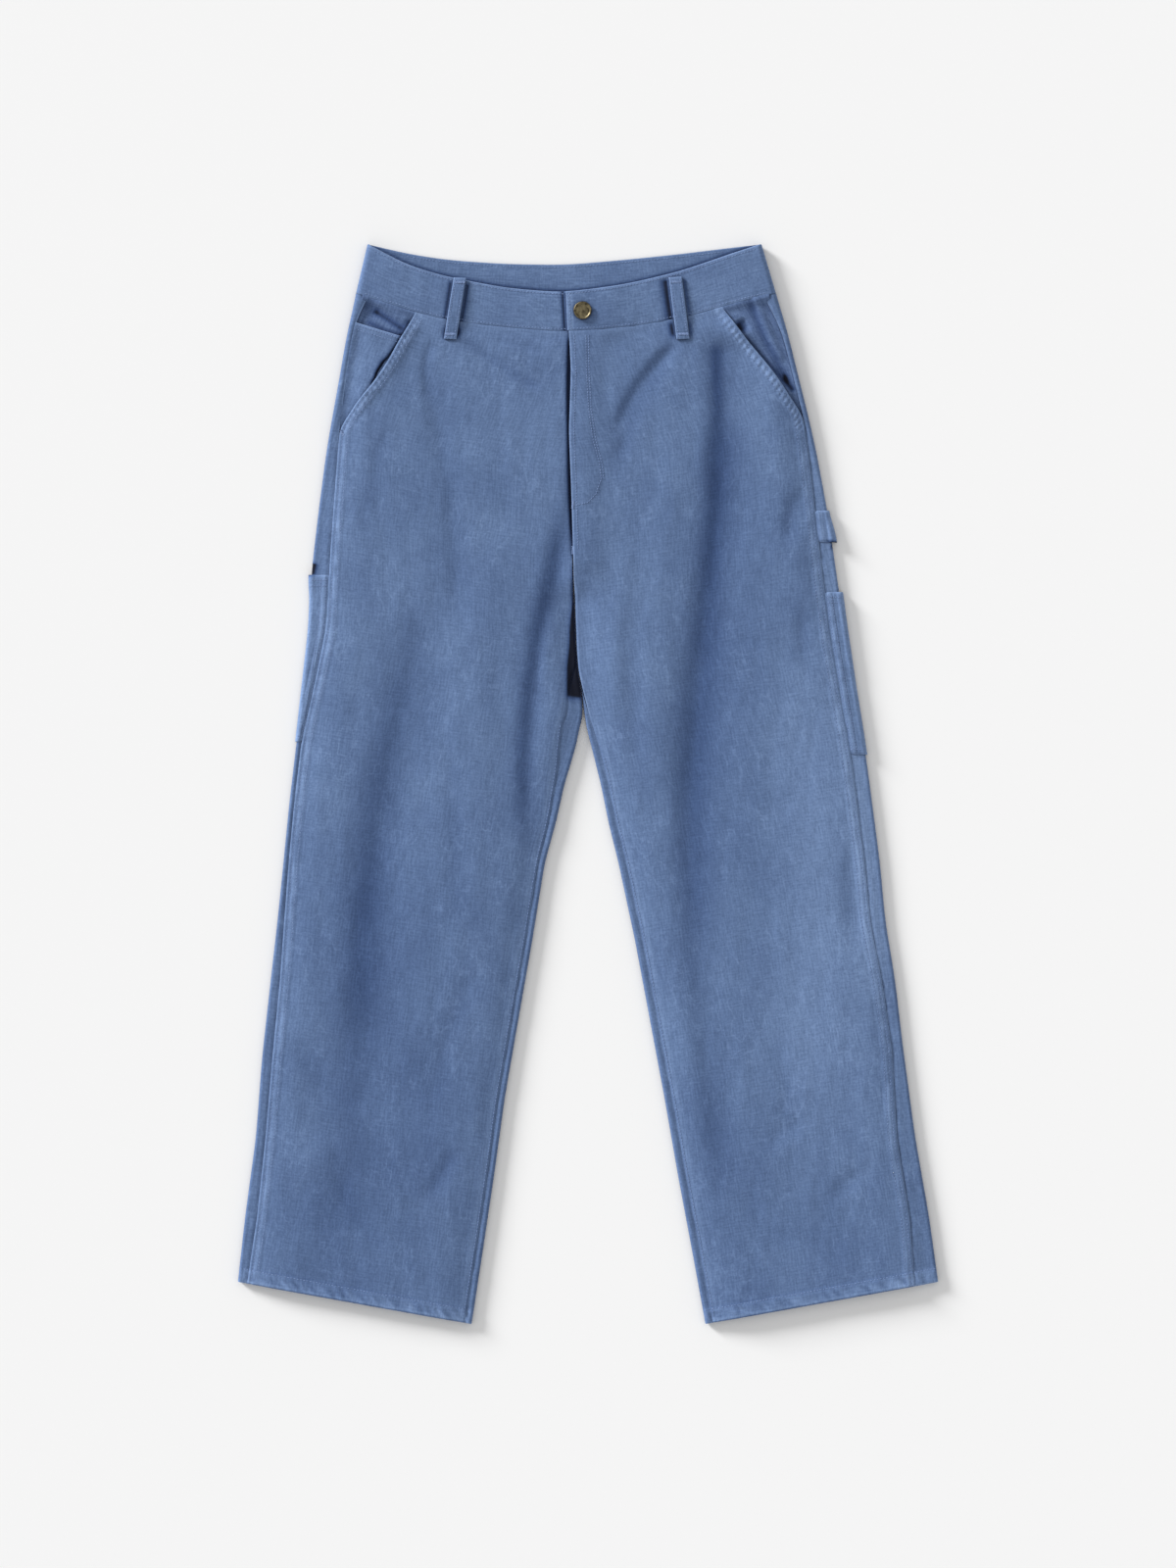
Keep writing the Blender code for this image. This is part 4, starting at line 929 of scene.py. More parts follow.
def front_panel(half, name):
    y_outer, y_inner, x_outer, x_inner = row_ends(half, "front", ROWS)
    bow = MOUTH_BOW[half] * bump(y_outer - 431.0, 27.0)
    edge = x_outer - half.side * (half.front(y_outer) - SEAM_OVERLAP + bow)
    wrap = half.wrap(y_inner)
    gap = 0.33 * (1.0 - step(4.0, 8.0, wrap)) - 0.5 * step(4.0, 8.0, wrap)
    arc = wrap + gap + EDGE_STEPS[::-1][None, :]
    x_turn, z_turn = inner_turn(half, y_inner, arc)
    if half is left:
        lap = FLY_LAP * step(FLY_BOTTOM, FLY_BOTTOM + FLY_EASE, y_inner)
        x_lap = x_inner + lap - EDGE_STEPS[::-1][None, :]
        x_turn = np.where(lap > 0.0, x_lap, x_turn)
    x_edge = edge - half.side * EDGE_STEPS[None, :]
    middle = np.linspace(0.0, 1.0, MIDDLE_COLUMNS + 1)[1:-1][None, :]
    x_middle = x_edge[:, -1:] + (x_turn[:, :1] - x_edge[:, -1:]) * middle
    x = np.concatenate((x_edge, x_middle, x_turn), axis=1)
    y = row_y(half, "front", ROWS, x)
    z = top_height(half, x, y)
    turned = x_turn.shape[1]
    _, drop = bent_strip(arc, roll_share(y_inner) * math.pi / 2.0)
    z[:, -turned:] -= drop
    z += mouth_lift(half, x, edge, y_outer)
    inset = np.abs(x - edge)
    from_inner = np.abs(x - x[:, -1:])
    above_hem = y - row_y(half, "front", 1.0, x)
    below_waist = row_y(half, "front", 0.0, x) - y
    seed = 40 if half is left else 60
    z += seam_relief(inset, y, seed)
    mouth = step(346.0, 356.0, y_outer)
    ropes = rope(inset, y, seed + 1) * mouth
    z += 0.42 * ropes
    if half is right:
        z -= 0.45 * bump(inset, 1.6) * (1.0 - mouth)
    inseam = roll_share(y_inner) * step(5.0, 9.0, wrap)
    z += (seam_relief(from_inner, y, seed + 2, 0.3) - 0.55 * bump(from_inner, 1.6)) * inseam
    z += hem_relief(above_hem, x, seed + 4)
    z += waist_relief(below_waist, x, seed + 6)
    if half is right:
        fly = step(FLY_BOTTOM - 10.0, FLY_BOTTOM + 10.0, y)
        z += fly_facing(x, y) * fly + 0.2 * mottle(y, x, 7.0, 71) * bump(from_inner - 4.0, 5.0) * fly
        z += -0.5 * bump(from_inner, 0.8) * fly
    z, y = tucked_under_band(x, y, z, below_waist, half)
    points = np.stack((x, y, z), axis=2)
    rubbed_ridge = 0.75 + 0.6 * mottle(y, inset, 11.0, seed + 8)
    wear_and_highlight = 0.50 * bump(inset, 1.3) + 0.46 * bump(inset - 6.2, 2.6) * rubbed_ridge
    wear_and_highlight += hem_wear(above_hem, inset, x, seed + 9)
    wear_and_highlight += 0.25 * bump(from_inner - 5.0, 2.5) * inseam + 0.55 * bump(from_inner, 1.2) * (1.0 - inseam)
    wear_and_highlight += 0.12 * bump(below_waist, 3.0) + 0.42 * np.maximum(0.0, ropes)
    # Painted shade from the fold list; where it is below zero it becomes a painted highlight, added to the
    # wear.
    painted_shade = fold_relief(half.name, x, y)[1]
    wear_and_highlight += 2.0 * np.maximum(0.0, -painted_shade)
    # Painted shade: a thin dark line along the hem's edge and a faint one just above the hem.
    painted_shade = painted_shade + 0.4 * bump(above_hem, 0.8) + 0.10 * bump(above_hem - HEM_DEPTH - 1.0, 1.2)
    walls = np.where(above_hem < HEM_DEPTH, 1.0, CLOTH / HEM_CLOTH)
    grain = cloth_grain(points, half)
    return lay_cloth(name, points, HEM_CLOTH, canvas, grain, wear_and_highlight, half is left, walls, painted_shade=painted_shade), points


front_left, front_left_points = front_panel(left, "front_left_cloth")
front_right, front_right_points = front_panel(right, "front_right_cloth")
print("front panels", front_left_points.shape)

# %% [markdown]
# ## Back panels
#
# The back panel lies on the floor, so its underside is dead flat. It rolls up
# round the outer edge to the outseam and, below the crotch, round the inner edge
# to the inseam.

# %% Back panels
STRIP_COLUMNS, ARC_COLUMNS, FLOOR_COLUMNS, INNER_COLUMNS = 14, 14, 10, 30


def back_panel(half, name):
    y_outer, y_inner, x_outer, _ = row_ends(half, "back", ROWS)
    radius = half.radius(y_outer)
    quarter = radius * math.pi / 2.0
    strip = np.maximum(0.6, half.back(y_outer) - radius)
    arc_strip = quarter + strip * np.linspace(1.0, 0.0, STRIP_COLUMNS + 1)[None, :-1]
    arc_turn = quarter * np.linspace(1.0, -1.0, ARC_COLUMNS + 1)[None, :]
    arc = np.concatenate((arc_strip, arc_turn), axis=1)
    x_out, z_out = outer_turn(half, y_outer, arc)
    y_out = np.where(arc > 0.0, row_y(half, "front", ROWS, x_out), row_y(half, "back", ROWS, x_out))
    wrap = half.wrap(y_inner)
    gap = 0.10 + 0.33 * (1.0 - step(4.0, 8.0, wrap))
    start = -EDGE_RADIUS * math.pi / 2.0
    arc_in = start + (wrap - gap - start) * np.linspace(0.0, 1.0, INNER_COLUMNS + 1)[None, :]
    x_in, z_in = inner_turn(half, y_inner, arc_in)
    floor_share = np.linspace(0.0, 1.0, FLOOR_COLUMNS + 1)[None, 1:-1]
    x_floor = x_out[:, -1:] + (x_in[:, :1] - x_out[:, -1:]) * floor_share
    x = np.concatenate((x_out, x_floor, x_in), axis=1)
    y = np.concatenate((y_out, row_y(half, "back", ROWS, x_floor), row_y(half, "back", ROWS, x_in)), axis=1)
    z = np.concatenate((z_out, 0.0 * x_floor, z_in), axis=1)
    seam_inset = np.concatenate((quarter + strip - arc, 99.0 + 0.0 * x_floor, wrap - gap - arc_in), axis=1)
    above_hem = y - row_y(half, "front", 1.0, x)
    below_waist = row_y(half, "front", 0.0, x) - y
    rolled = roll_share(y_inner)
    facing_up = np.concatenate((step(0.5, 2.5, arc), 0.0 * x_floor, step(0.5, 2.5, arc_in) * rolled), axis=1)
    seed = 80 if half is left else 90
    sewn = -0.75 * bump(seam_inset, 2.4) + 0.25 * mottle(y, seam_inset, 7.0, seed) * bump(seam_inset, 6.0)
    z += facing_up * (sewn + hem_relief(above_hem, x, seed + 2) + waist_relief(below_waist, x, seed + 4))
    z = np.maximum(z, 0.0)
    y[0] += 1.0 * (z[0] > 2.0)
    points = np.stack((x, y, z), axis=2)
    lip = np.concatenate((bump(arc - 1.0, 3.2), 0.0 * x_floor, bump(arc_in - 1.0, 3.2) * rolled), axis=1)
    wear_and_highlight = 0.08 * lip + 0.35 * bump(seam_inset, 1.2) + 0.8 * bump(above_hem, 1.5)
    wear_and_highlight += 0.30 * (1.0 - step(8.0, HEM_DEPTH + 4.0, above_hem))
    # Painted shade from the fold list, only where the panel shows on top; below zero it becomes a painted
    # highlight in the wear.
    painted_shade = fold_relief(half.name, x, y)[1] * step(1.0, 3.0, z)
    wear_and_highlight += 2.0 * np.maximum(0.0, -painted_shade)
    # Painted shade along the rolled edges.
    painted_shade = np.maximum(0.0, painted_shade) + 0.22 * lip
    walls = np.where(above_hem < HEM_DEPTH, 1.0, CLOTH / HEM_CLOTH)
    grain = cloth_grain(points, half)
    return lay_cloth(name, points, HEM_CLOTH, canvas, grain, wear_and_highlight, half is right, walls, painted_shade=painted_shade), points


back_left, back_left_points = back_panel(left, "back_left_cloth")
back_right, back_right_points = back_panel(right, "back_right_cloth")
print("back panels", back_left_points.shape)

# %% [markdown]
# ## Waistband
#
# The waistband is one doubled strip. It starts under the fly, runs round the
# back and laps over itself at the button, so it is one sheet with a thick wall.

# %% Waistband
BAND_LAP_SHARE, BAND_UNDER_SHARE = 0.5035, 0.585
BAND_ROWS = 26


def band_plan(share, height, face):
    """Plan position on the waistband: share across, height 0 at its lower edge, 1 at its upper."""
    low_x = BAND_LOW_X[0] + (BAND_LOW_X[1] - BAND_LOW_X[0]) * share
    top_x = BAND_TOP_X[0] + (BAND_TOP_X[1] - BAND_TOP_X[0]) * share
    low_y = band_edge[face + "_low"](share) + 0.35
    top_y = band_edge[face + "_top"](share)
    return low_x + (top_x - low_x) * height, low_y + (top_y - low_y) * height


def band_grid():
    height = np.linspace(0.0, 1.0, BAND_ROWS + 1)[:, None]
    width = BAND_TOP_X[1] - BAND_TOP_X[0]
    edge = BAND_RADIUS / width
    left_front = np.linspace(BAND_UNDER_SHARE, edge, 200)[None, :]
    turn = np.linspace(0.0, math.pi, 15)[None, 1:-1]
    back = np.linspace(edge, 1.0 - edge, 60)[None, :]
    right_front = np.linspace(1.0 - edge, BAND_LAP_SHARE, 170)[None, :]
    stretches = []
    x, y = band_plan(left_front, height, "front")
    side_ease = 0.6 * bump(left_front - edge, 0.033)
    stretches.append((x, y, band_front_height(x, False) - side_ease))
    for side in (0, 1):
        angle = math.pi / 2.0 - turn if side == 0 else turn - math.pi / 2.0
        inset = edge * (1.0 - np.cos(angle))
        share = inset if side == 0 else 1.0 - inset
        x_front, y_front = band_plan(share, height, "front")
        x_back, y_back = band_plan(share, height, "back")
        front = angle > 0.0
        z = BAND_RADIUS * (1.0 + np.sin(angle)) + 0.0 * x_front
        stretches.append((np.where(front, x_front, x_back), np.where(front, y_front, y_back), z))
        if side == 0:
            x, y = band_plan(back, height, "back")
            stretches.append((x, y, 0.0 * x))
    x, y = band_plan(right_front, height, "front")
    side_ease = 0.6 * bump(1.0 - edge - right_front, 0.033)
    stretches.append((x, y, band_front_height(x, True) - side_ease))
    x, y, z = (np.concatenate([stretch[k] for stretch in stretches], axis=1) for k in range(3))
    on_top = step(7.0, 9.0, z)
    tall = height * 40.0 + 0.0 * x
    relief = 0.28 * mottle(x, y, 30.0, 21) + 0.16 * mottle(x, y * 0.6, 10.0, 22)
    relief += -0.35 * bump(tall - 2.4, 0.9) - 0.28 * bump(tall - 37.4, 0.9)
    relief += 0.26 * mottle(x, tall * 0.3, 7.0, 23) * (bump(tall - 4.0, 5.0) + 0.7 * bump(tall - 36.0, 4.0))
    relief += -0.3 * bump(tall, 0.9) - 0.3 * bump(tall - 40.0, 0.7)
    # The band's entries in the fold list paint shade beside the belt loops and along the lapped end.
    hollow, painted_shade = fold_relief("band", x, y)
    z = z + on_top * (relief + hollow)
    wear_and_highlight = on_top * (0.32 * bump(tall - 40.0, 1.6) + 0.18 * bump(tall, 1.6)) + 0.25 * bump(z - 5.0, 3.0)
    # Below zero the fold list gives a painted highlight, added to the wear.
    wear_and_highlight += 2.0 * np.maximum(0.0, -painted_shade) * on_top
    share = (x - BAND_TOP_X[0]) / (BAND_TOP_X[1] - BAND_TOP_X[0])
    above_front = y - band_edge["front_top"](share)
    # Painted shadow of the front band's top edge: a dark line on the back stretch just above it.
    mouth_shadow = (z < 1.0) * 0.80 * bump(above_front - 1.0, 2.2)
    return np.stack((x, y, z), axis=2), wear_and_highlight, painted_shade * on_top + mouth_shadow


band_points, band_wear_and_highlight, band_shade = band_grid()
band_uv = cloth_grain(np.swapaxes(band_points, 0, 1))
band_uv = np.swapaxes(band_uv, 0, 1)
band_wear_and_highlight[:, -6:] = np.maximum(band_wear_and_highlight[:, -6:], 0.35)
waistband = lay_cloth("waistband_cloth", band_points, BAND_CLOTH, canvas, band_uv, band_wear_and_highlight, True,
                      soften=0.9, painted_shade=band_shade)
print("waistband", band_points.shape)

# %% [markdown]
# ## Pockets
#
# Behind each slant pocket a hip piece closes the opening. The left one carries a
# coin pocket with its own turned edge. The two utility pockets wrap the outer
# edges and gape a little at the mouth.

# %% Hip pieces and coin pocket
POCKET_CLOTH = 1.0
FACING_LOW = 346.0
COIN_TOP, COIN_LOW = 459.6, 354.0


def facing_depth(half, inset):
    deep = 3.2 if half is left else 2.2
    return CLOTH + 0.4 + (deep - CLOTH - 0.4) * step(5.0, 14.0, inset)


def hip_piece(half, name):
    y_outer = np.linspace(WAIST_Y + 1.0, FACING_LOW, 90)[:, None]
    share = (WAIST_Y - y_outer) / (WAIST_Y - HEM_Y)
    start = np.minimum(half.back(y_outer) - 1.0, half.radius(y_outer) + 2.2)
    end = half.front(y_outer) + 12.0
    inset = start + (end - start) * np.linspace(0.0, 1.0, 60)[None, :]
    x = half.side * (half.out(y_outer) - inset)
    y = row_y(half, "front", share, x)
    below_band = row_y(half, "front", 0.0, x) - y
    z = top_height(half, x, y) - facing_depth(half, inset) + 0.30 * mottle(x, y, 16.0, 33)
    z, y = tucked_under_band(x, y, z, below_band, half, 5.0)
    # Painted shade at the pocket mouths, from the fold list.
    relief, painted_shade = fold_relief("hip" + half.name, x, y)
    points = np.stack((x, y, z + relief), axis=2)
    grain, wear_and_highlight = cloth_grain(points, half), 0.05 + 0.0 * x
    return lay_cloth(name, points, POCKET_CLOTH, canvas_shaded, grain, wear_and_highlight, half is left, painted_shade=painted_shade)


hip_left = hip_piece(left, "hip_piece_left_cloth")
hip_right = hip_piece(right, "hip_piece_right_cloth")


def coin_pocket_piece(name):
    y_outer = np.linspace(COIN_TOP, COIN_LOW, 76)[:, None]
    share = (WAIST_Y - y_outer) / (WAIST_Y - HEM_Y)
    start = left.radius(y_outer) + 1.2
    end = left.front(y_outer) + 7.0
    inset = start + (end - start) * np.linspace(0.0, 1.0, 52)[None, :]
    x = -(left.out(y_outer) - inset)
    y = row_y(left, "front", share, x)
    below_mouth = row_y(left, "front", share[:1], x) - y
    z = top_height(left, x, y) - facing_depth(left, inset) + 0.35 + POCKET_CLOTH
    z += 1.5 * bump(below_mouth, 9.0) * step(4.0, 16.0, inset) + 0.25 * mottle(x, y, 17.0, 36)
    z += -0.25 * bump(below_mouth - 6.0, 0.9) - 0.4 * bump(below_mouth, 0.8)
    # Painted shadow in the slit of the pocket mouth, from the fold list.
    relief, painted_shade = fold_relief("coin", x, y)
    points = np.stack((x, y, z + relief), axis=2)
    wear_and_highlight = 0.55 * bump(below_mouth, 1.4) + 0.15 * bump(below_mouth - 4.0, 3.0)
    return lay_cloth(name, points, POCKET_CLOTH, canvas, cloth_grain(points), wear_and_highlight, True, painted_shade=painted_shade), points


coin_pocket, coin_points = coin_pocket_piece("coin_pocket_cloth")
print("hip pieces and coin pocket laid")

# %% Utility pockets and hammer loop
LIFT = 0.3
PAST_SEAM = 0.4
TURNED_UNDER = 0.36


def edge_wrap(name, half, span, stand, rows, seed, stitched, open_end):
    """A piece wrapped round the outer edge; `stand` gives how far it stands off at each height.

    Where the open end turns over the edge, it is darkened with painted shade, standing for the shadow inside.
    """
    y = np.linspace(span[0], span[1], rows)[:, None]
    radius = half.radius(y)
    quarter = radius * math.pi / 2.0
    first = quarter + half.front(y) + PAST_SEAM - radius
    last = -radius * math.asin(TURNED_UNDER)
    flat = np.linspace(0.0, 1.0, 17)[None, :-1]
    turn = np.linspace(0.0, 1.0, 15)[None, :]
    arc = np.concatenate((first + (quarter - first) * flat, quarter + (last - quarter) * turn), axis=1)
    out = np.where(arc < quarter, np.cos(np.clip(arc / radius, -math.pi / 2.0, math.pi / 2.0)), 0.0)
    lift = LIFT + CLOTH + stand(y) * np.maximum(0.0, out)
    x, z = outer_turn(half, y, arc, lift)
    inset = first - arc
    below = span[0] - y + 0.0 * x
    above = y - span[1] + 0.0 * x
    up = step(2.0, 4.0, z)
    relief = 0.25 * mottle(below, inset, 9.0, seed) - (LIFT + 0.95 * CLOTH) * bump(inset, 2.6)
    for groove in stitched:
        relief += -0.25 * bump(inset - groove, 0.8)
    on_cloth = step(2.0, 5.0, z) * 0.9
    relief += -(0.4 + on_cloth * 0.85) * (bump(below, 1.4) + bump(above, 1.4))
    z = z + up * relief
    points = np.stack((x, y + 0.0 * x, z), axis=2)
    wear_and_highlight = 0.35 * bump(below, 1.4) + 0.35 * bump(above, 1.4) + 0.35 * bump(arc - 1.0, 3.0)
    rubbed_ridge = 0.8 + 0.6 * mottle(y, inset, 10.0, seed + 5)
    # The 0.17 on the part that lies on top is a painted highlight, not wear.
    wear_and_highlight += 0.30 * bump(inset - 5.0, 2.2) * rubbed_ridge + 0.17 * up
    # Painted shadow inside the open end, where it turns over the edge.
    painted_shade = (open_end == "top") * bump(below, 2.2) * bump(arc - 1.0, 5.0)
    painted_shade = painted_shade + (open_end == "bottom") * bump(above, 2.4) * bump(arc - 2.0, 5.0)
    grain = cloth_grain(points, half)
    return lay_cloth(name, points, CLOTH, canvas, grain, wear_and_highlight, half is right, painted_shade=painted_shade), points


side_left, side_left_points = edge_wrap(
    "side_pocket_left_cloth", left, (208.0, 42.0), lambda y: 1.8 * step(180.0, 208.0, y), 90, 101,
    (2.5, 8.0), "top")
side_right, side_right_points = edge_wrap(
    "side_pocket_right_cloth", right, (191.0, 29.0), lambda y: 0.4 + 2.0 * step(40.0, 190.0, y), 90, 103,
    (2.5, 8.0), "none")
hammer, hammer_points = edge_wrap(
    "hammer_loop_cloth", right, (272.0, 240.0), lambda y: 0.8 + 2.8 * step(272.0, 244.0, y), 34, 105,
    (), "bottom")
print("side pockets and hammer loop laid")

# %% [markdown]
# ## Belt loops
#
# A belt loop is a folded strip with two rows of stitching. It stands off the
# waistband so that a belt can pass, and its ends are tacked down.

# %% Belt loops
LOOP_CLOTH = 1.8
LOOP_STAND = 1.1
LOOP_LENGTH = 61.0


def belt_loop(name, half, top, low, width, seed):
    along = np.linspace(0.0, 1.0, 60)[:, None]
    across = np.linspace(0.0, 1.0, 17)[None, :]
    x = top[0] + (low[0] - top[0]) * along + width * across
    y = top[1] + (low[1] - top[1]) * along + 0.0 * across
    y = y + 0.7 * (across - 0.5) * (1.0 if half is right else -1.0)
    seam = band_edge["front_low"]((x - BAND_LOW_X[0]) / (BAND_LOW_X[1] - BAND_LOW_X[0]))
    band_z = band_front_height(x, half is right)
    panel_z = top_height(half, x, np.minimum(y, seam))
    ground = panel_z + np.maximum(0.0, band_z - panel_z) * step(-9.0, 2.0, y - seam)
    stand = LOOP_STAND * np.sin(math.pi * along) ** 0.8
    z = ground + LIFT + LOOP_CLOTH + stand * (1.3 - 0.8 * across) - 0.3 * across
    z = z + 0.12 * mottle(x, y, 9.0, seed)
    from_side = np.minimum(across, 1.0 - across) * width
    z += -0.55 * bump(from_side, 0.7) - 0.22 * bump(from_side - 2.6, 0.7)
    ends = np.minimum(along, 1.0 - along) * LOOP_LENGTH
    z += -0.4 * bump(ends, 0.9) - 0.35 * bump(ends - 6.5, 1.3)
    points = np.stack((x, y, z), axis=2)
    wear_and_highlight = 0.45 * bump(from_side, 1.1) + 0.35 * bump(ends, 1.5) + 0.0 * x
    return lay_cloth(name, points, LOOP_CLOTH, canvas, cloth_grain(points), wear_and_highlight, True, soften=0.6), points


loop_left, loop_left_points = belt_loop(
    "belt_loop_left_cloth", left, (-133.4, 502.6), (-143.2, 441.2), 12.7, 121)
loop_right, loop_right_points = belt_loop(
    "belt_loop_right_cloth", right, (79.9, 503.4), (87.7, 441.2), 13.4, 123)
print("belt loops laid")

# %% [markdown]
# ## Button
#
# A tack button is stamped brass: a rolled rim round a shallow dish, on a shank
# that is riveted through the band. Spinning one outline makes it in one step.

# %% Button
BUTTON_X, BUTTON_Y = -5.4, 469.7
BUTTON_OUTLINE = (
    (0.0, 2.75), (2.0, 2.72), (4.2, 2.5), (5.8, 2.15), (6.5, 2.05), (7.1, 2.3), (7.6, 2.85), (8.1, 3.0),
    (8.6, 2.8), (8.9, 2.2), (8.8, 1.5), (8.2, 1.0), (6.0, 0.8), (4.6, 0.6), (4.4, 0.0), (0.0, 0.0),
)


def turned(name, outline, place, material, steps=48):
    """An outline of (radius, height) in mm spun once round the vertical at `place`."""
    shape = bmesh.new()
    corners = [shape.verts.new((radius * MM, 0.0, height * MM)) for radius, height in outline]
    edges = [shape.edges.new(pair) for pair in zip(corners, corners[1:])]
    bmesh.ops.spin(shape, geom=corners + edges, cent=(0, 0, 0), axis=(0, 0, 1), angle=2.0 * math.pi,
                   steps=steps, use_merge=True)
    bmesh.ops.remove_doubles(shape, verts=shape.verts, dist=0.00002)
    bmesh.ops.recalc_face_normals(shape, faces=shape.faces)
    bmesh.ops.translate(shape, verts=shape.verts, vec=[value * MM for value in place])
    return placed(name, mesh_from(name, shape), material)


button_z = float(band_front_height(np.array(BUTTON_X), True)) + 0.3
button = turned("tack_button", BUTTON_OUTLINE, (BUTTON_X, BUTTON_Y, button_z), brass)
print("button seated at", round(button_z, 2))

# %% [markdown]
# ## Stitching
#
# Each stitch is a small bead of thread. A run of them is dropped straight down
# onto the finished cloth, so it follows every fold. All the stitches of one seam
# are joined into one piece.

# %% Sewing tools
STITCH_LENGTH, STITCH_WIDTH, STITCH_HEIGHT = 2.5, 0.72, 0.44
STITCH_PITCH = 3.2
CLOSE_PITCH = 2.8
DROP_FROM = 0.06
ABOVE_CLOTH = 0.00006


def cloth_tree(piece):
    graph = bpy.context.evaluated_depsgraph_get()
    return BVHTree.FromObject(piece.evaluated_get(graph), graph)


def one_stitch():
    shape = bmesh.new()
    bmesh.ops.create_uvsphere(shape, u_segments=6, v_segments=4, radius=0.5)
    bmesh.ops.rotate(shape, verts=shape.verts, cent=(0, 0, 0), matrix=Matrix.Rotation(math.pi / 2.0, 3, "Y"))
    bmesh.ops.scale(shape, verts=shape.verts, vec=(STITCH_LENGTH * MM, STITCH_WIDTH * MM, STITCH_HEIGHT * MM))
    return mesh_from("one_stitch", shape)


STITCH = one_stitch()


def walk(line, pitch):
    """Points and directions every `pitch` mm along a line of (x, y) points."""
    line = np.asarray(line, float)[:, :2]
    lengths = np.hypot(*np.diff(line, axis=0).T)
    reach = np.concatenate(([0.0], np.cumsum(lengths)))
    at = np.arange(pitch / 2.0, reach[-1], pitch)
    x, y = np.interp(at, reach, line[:, 0]), np.interp(at, reach, line[:, 1])
    ahead_x, ahead_y = np.interp(at + 0.8, reach, line[:, 0]), np.interp(at + 0.8, reach, line[:, 1])
    behind_x, behind_y = np.interp(at - 0.8, reach, line[:, 0]), np.interp(at - 0.8, reach, line[:, 1])
    return [(x[k], y[k], ahead_x[k] - behind_x[k], ahead_y[k] - behind_y[k]) for k in range(len(at))]


def sew(name, lines, pieces, pitch=STITCH_PITCH, size=(1.0, 1.0, 1.0)):
    """Runs of stitches along plan lines, laid on whichever of the pieces is uppermost."""
    trees = [cloth_tree(piece) for piece in pieces]
    shape = bmesh.new()
    count = 0
    for line in lines:
        for x, y, dx, dy in walk(line, pitch):
            above = Vector((x * MM, y * MM, DROP_FROM))
            hits = [tree.ray_cast(above, Vector((0.0, 0.0, -1.0)), DROP_FROM) for tree in trees]
            hits = [hit for hit in hits if hit[0] is not None]
            if not hits:
                continue
            spot, normal, _, _ = max(hits, key=lambda hit: hit[0].z)
            ahead = Vector((dx, dy, 0.0)).normalized()
            ahead = (ahead - normal * ahead.dot(normal)).normalized()
            side = normal.cross(ahead)
            turn = Matrix((ahead * size[0], side * size[1], normal * size[2])).transposed().to_4x4()
            copy = STITCH.copy()
            copy.transform(Matrix.Translation(spot + normal * ABOVE_CLOTH) @ turn)
            shape.from_mesh(copy)
            bpy.data.meshes.remove(copy)
            count += 1
    print(name, count, "stitches")
    return placed(name, mesh_from(name, shape), thread)


def beside(points, column_inset, from_end=False):
    """The line of cloth points that lie `column_inset` mm in from a panel's sewn edge."""
    index = int(np.argmin(np.abs(EDGE_STEPS - column_inset)))
    return points[:, -1 - index] if from_end else points[:, index]


# %% Topstitching
def rows_between(line, high, low):
    """The part of a line of points between two heights."""
    return line[(line[:, 1] <= high) & (line[:, 1] >= low)]


outseams = []
for points in (front_left_points, front_right_points):
    for inset in (STITCH_NEAR, STITCH_FAR):
        outseams.append(beside(points, inset)[3:-3])
outseam_thread = sew("outseam_thread", outseams, (front_left, front_right))

hems = []
hem_row = int(np.argmin(np.abs((WAIST_Y - HEM_Y) * (1.0 - ROWS[:, 0]) - HEM_DEPTH + 0.6)))
for points in (front_left_points, front_right_points):
    hems.append(points[hem_row])
for points in (back_left_points, back_right_points):
    hems.append(points[hem_row, :STRIP_COLUMNS + 4])
    hems.append(points[hem_row, -14:])
hem_thread = sew("hem_thread", hems, (front_left, front_right, back_left, back_right))

inseams = [rows_between(beside(front_left_points, 2.3, True), 60.0, -530.0),
           rows_between(beside(front_right_points, 2.3, True), 30.0, -530.0)]
inseam_thread = sew("inseam_thread", inseams, (front_left, front_right))

fly_edge = beside(front_right_points, 5.0, True)
fly_edge = fly_edge[(fly_edge[:, 1] < 446.0) & (fly_edge[:, 1] > 232.0)]
second_row = [(x + 2.6, y) for x, y in FLY_LINE[:6]]
fly_thread = sew("fly_thread", [FLY_LINE, second_row, fly_edge], (front_right,), CLOSE_PITCH)
print("topstitching done")

# %% Waistband, pocket and loop stitching
def band_run(share_from, share_to, height, face="front"):
    """A line along the waistband at one height of it."""
    shares = np.linspace(share_from, share_to, 120)
    x, y = band_plan(shares, height, face)
    return np.stack((x, y), axis=1)


band_thread = sew("waistband_thread", [
    band_run(0.02, BAND_LAP_SHARE - 0.004, 0.06), band_run(BAND_LAP_SHARE + 0.006, 0.98, 0.06),
    band_run(0.02, BAND_LAP_SHARE - 0.004, 0.935), band_run(BAND_LAP_SHARE + 0.006, 0.98, 0.935),
    [band_plan(BAND_LAP_SHARE + 0.008, h, "front") for h in (0.07, 0.3, 0.6, 0.93)],
    band_run(0.10, 0.90, 0.935, "back"),
], (waistband,))

loop_lines = []
for points in (loop_left_points, loop_right_points):
    loop_lines += [points[2:-2, 3], points[2:-2, -4]]
loop_thread = sew("belt_loop_thread", loop_lines, (loop_left, loop_right), CLOSE_PITCH)

pocket_lines = [coin_points[2, 1:-1], coin_points[5, 1:-1]]
for points in (side_left_points, side_right_points):
    pocket_lines += [points[2:-2, 3], points[2:-2, 9], points[3, 2:22], points[6, 2:22], points[-4, 2:22]]
pocket_thread = sew("pocket_thread", pocket_lines, (coin_pocket, side_left, side_right), CLOSE_PITCH)


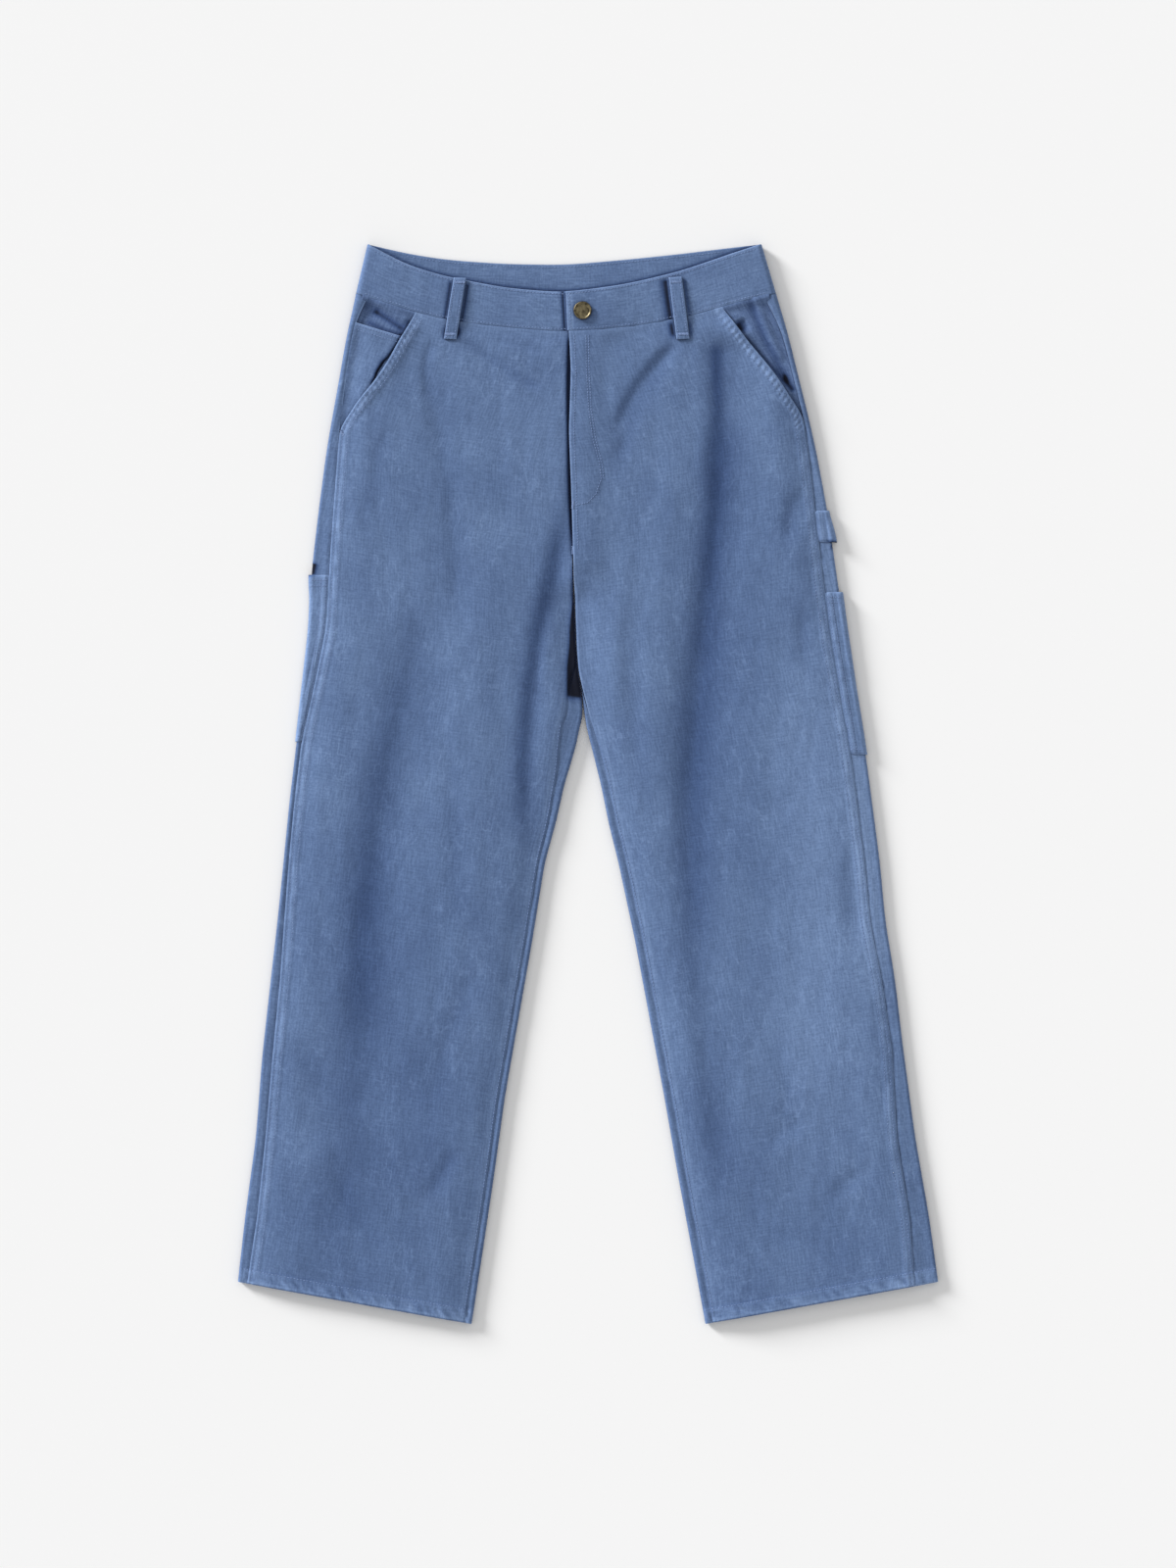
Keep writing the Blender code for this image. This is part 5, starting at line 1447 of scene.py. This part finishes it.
def bar_tack(x, y, angle, length=9.0):
    """A short dense row of zigzag thread that locks a corner."""
    dx, dy = math.cos(angle), math.sin(angle)
    return [(x - dx * length / 2.0, y - dy * length / 2.0), (x + dx * length / 2.0, y + dy * length / 2.0)]


tacks = [bar_tack(-245.0, 350.0, 2.1), bar_tack(217.0, 362.0, 0.95), bar_tack(-137.0, 446.5, 0.0, 10.5),
         bar_tack(94.5, 446.5, 0.0, 10.5), bar_tack(-15.0, 277.0, 1.5, 8.0), bar_tack(-15.2, 232.0, 1.5, 8.0),
         bar_tack(-127.2, 497.5, 0.0, 10.5), bar_tack(87.0, 498.0, 0.0, 10.5)]
tack_thread = sew("bar_tacks", tacks, (front_left, front_right, loop_left, loop_right, waistband), pitch=0.75,
                  size=(0.35, 4.2, 1.1))
print("bar tacks done")

# %% [markdown]
# ## What each piece stands for
#
# Every sheet rides on the one rigid body and replaces its plain solid. The table
# also lists the size that each was cut to, and what it rests on.

# %% Declarations
SHEETS = (
    (front_left, "front_left", (0.290, 1.005), ["back_left_cloth"]),
    (front_right, "front_right", (0.290, 1.005), ["back_right_cloth"]),
    (back_left, "back_left", (0.345, 1.035), ["floor"]),
    (back_right, "back_right", (0.345, 1.035), ["floor"]),
    (waistband, "waistband", (0.042, 0.860), ["floor"]),
    (hip_left, "pocket_facing_left", (0.110, 0.140), ["back_left_cloth"]),
    (hip_right, "pocket_facing_right", (0.100, 0.140), ["back_right_cloth"]),
    (coin_pocket, "coin_pocket", (0.075, 0.108), ["hip_piece_left_cloth"]),
    (side_left, "side_pocket_left", (0.026, 0.166), ["back_left_cloth"]),
    (side_right, "side_pocket_right", (0.031, 0.162), ["back_right_cloth"]),
    (hammer, "hammer_loop", (0.022, 0.032), ["back_right_cloth"]),
    (loop_left, "belt_loop_left", (0.0127, 0.062), ["waistband_cloth"]),
    (loop_right, "belt_loop_right", (0.0134, 0.063), ["waistband_cloth"]),
)
for piece, node, flat, rests_on in SHEETS:
    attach(piece, "root")
    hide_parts(node)

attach(button, "root")
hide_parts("button")
for piece in (outseam_thread, hem_thread, inseam_thread, fly_thread, band_thread, loop_thread, pocket_thread,
              tack_thread):
    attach(piece, "root")
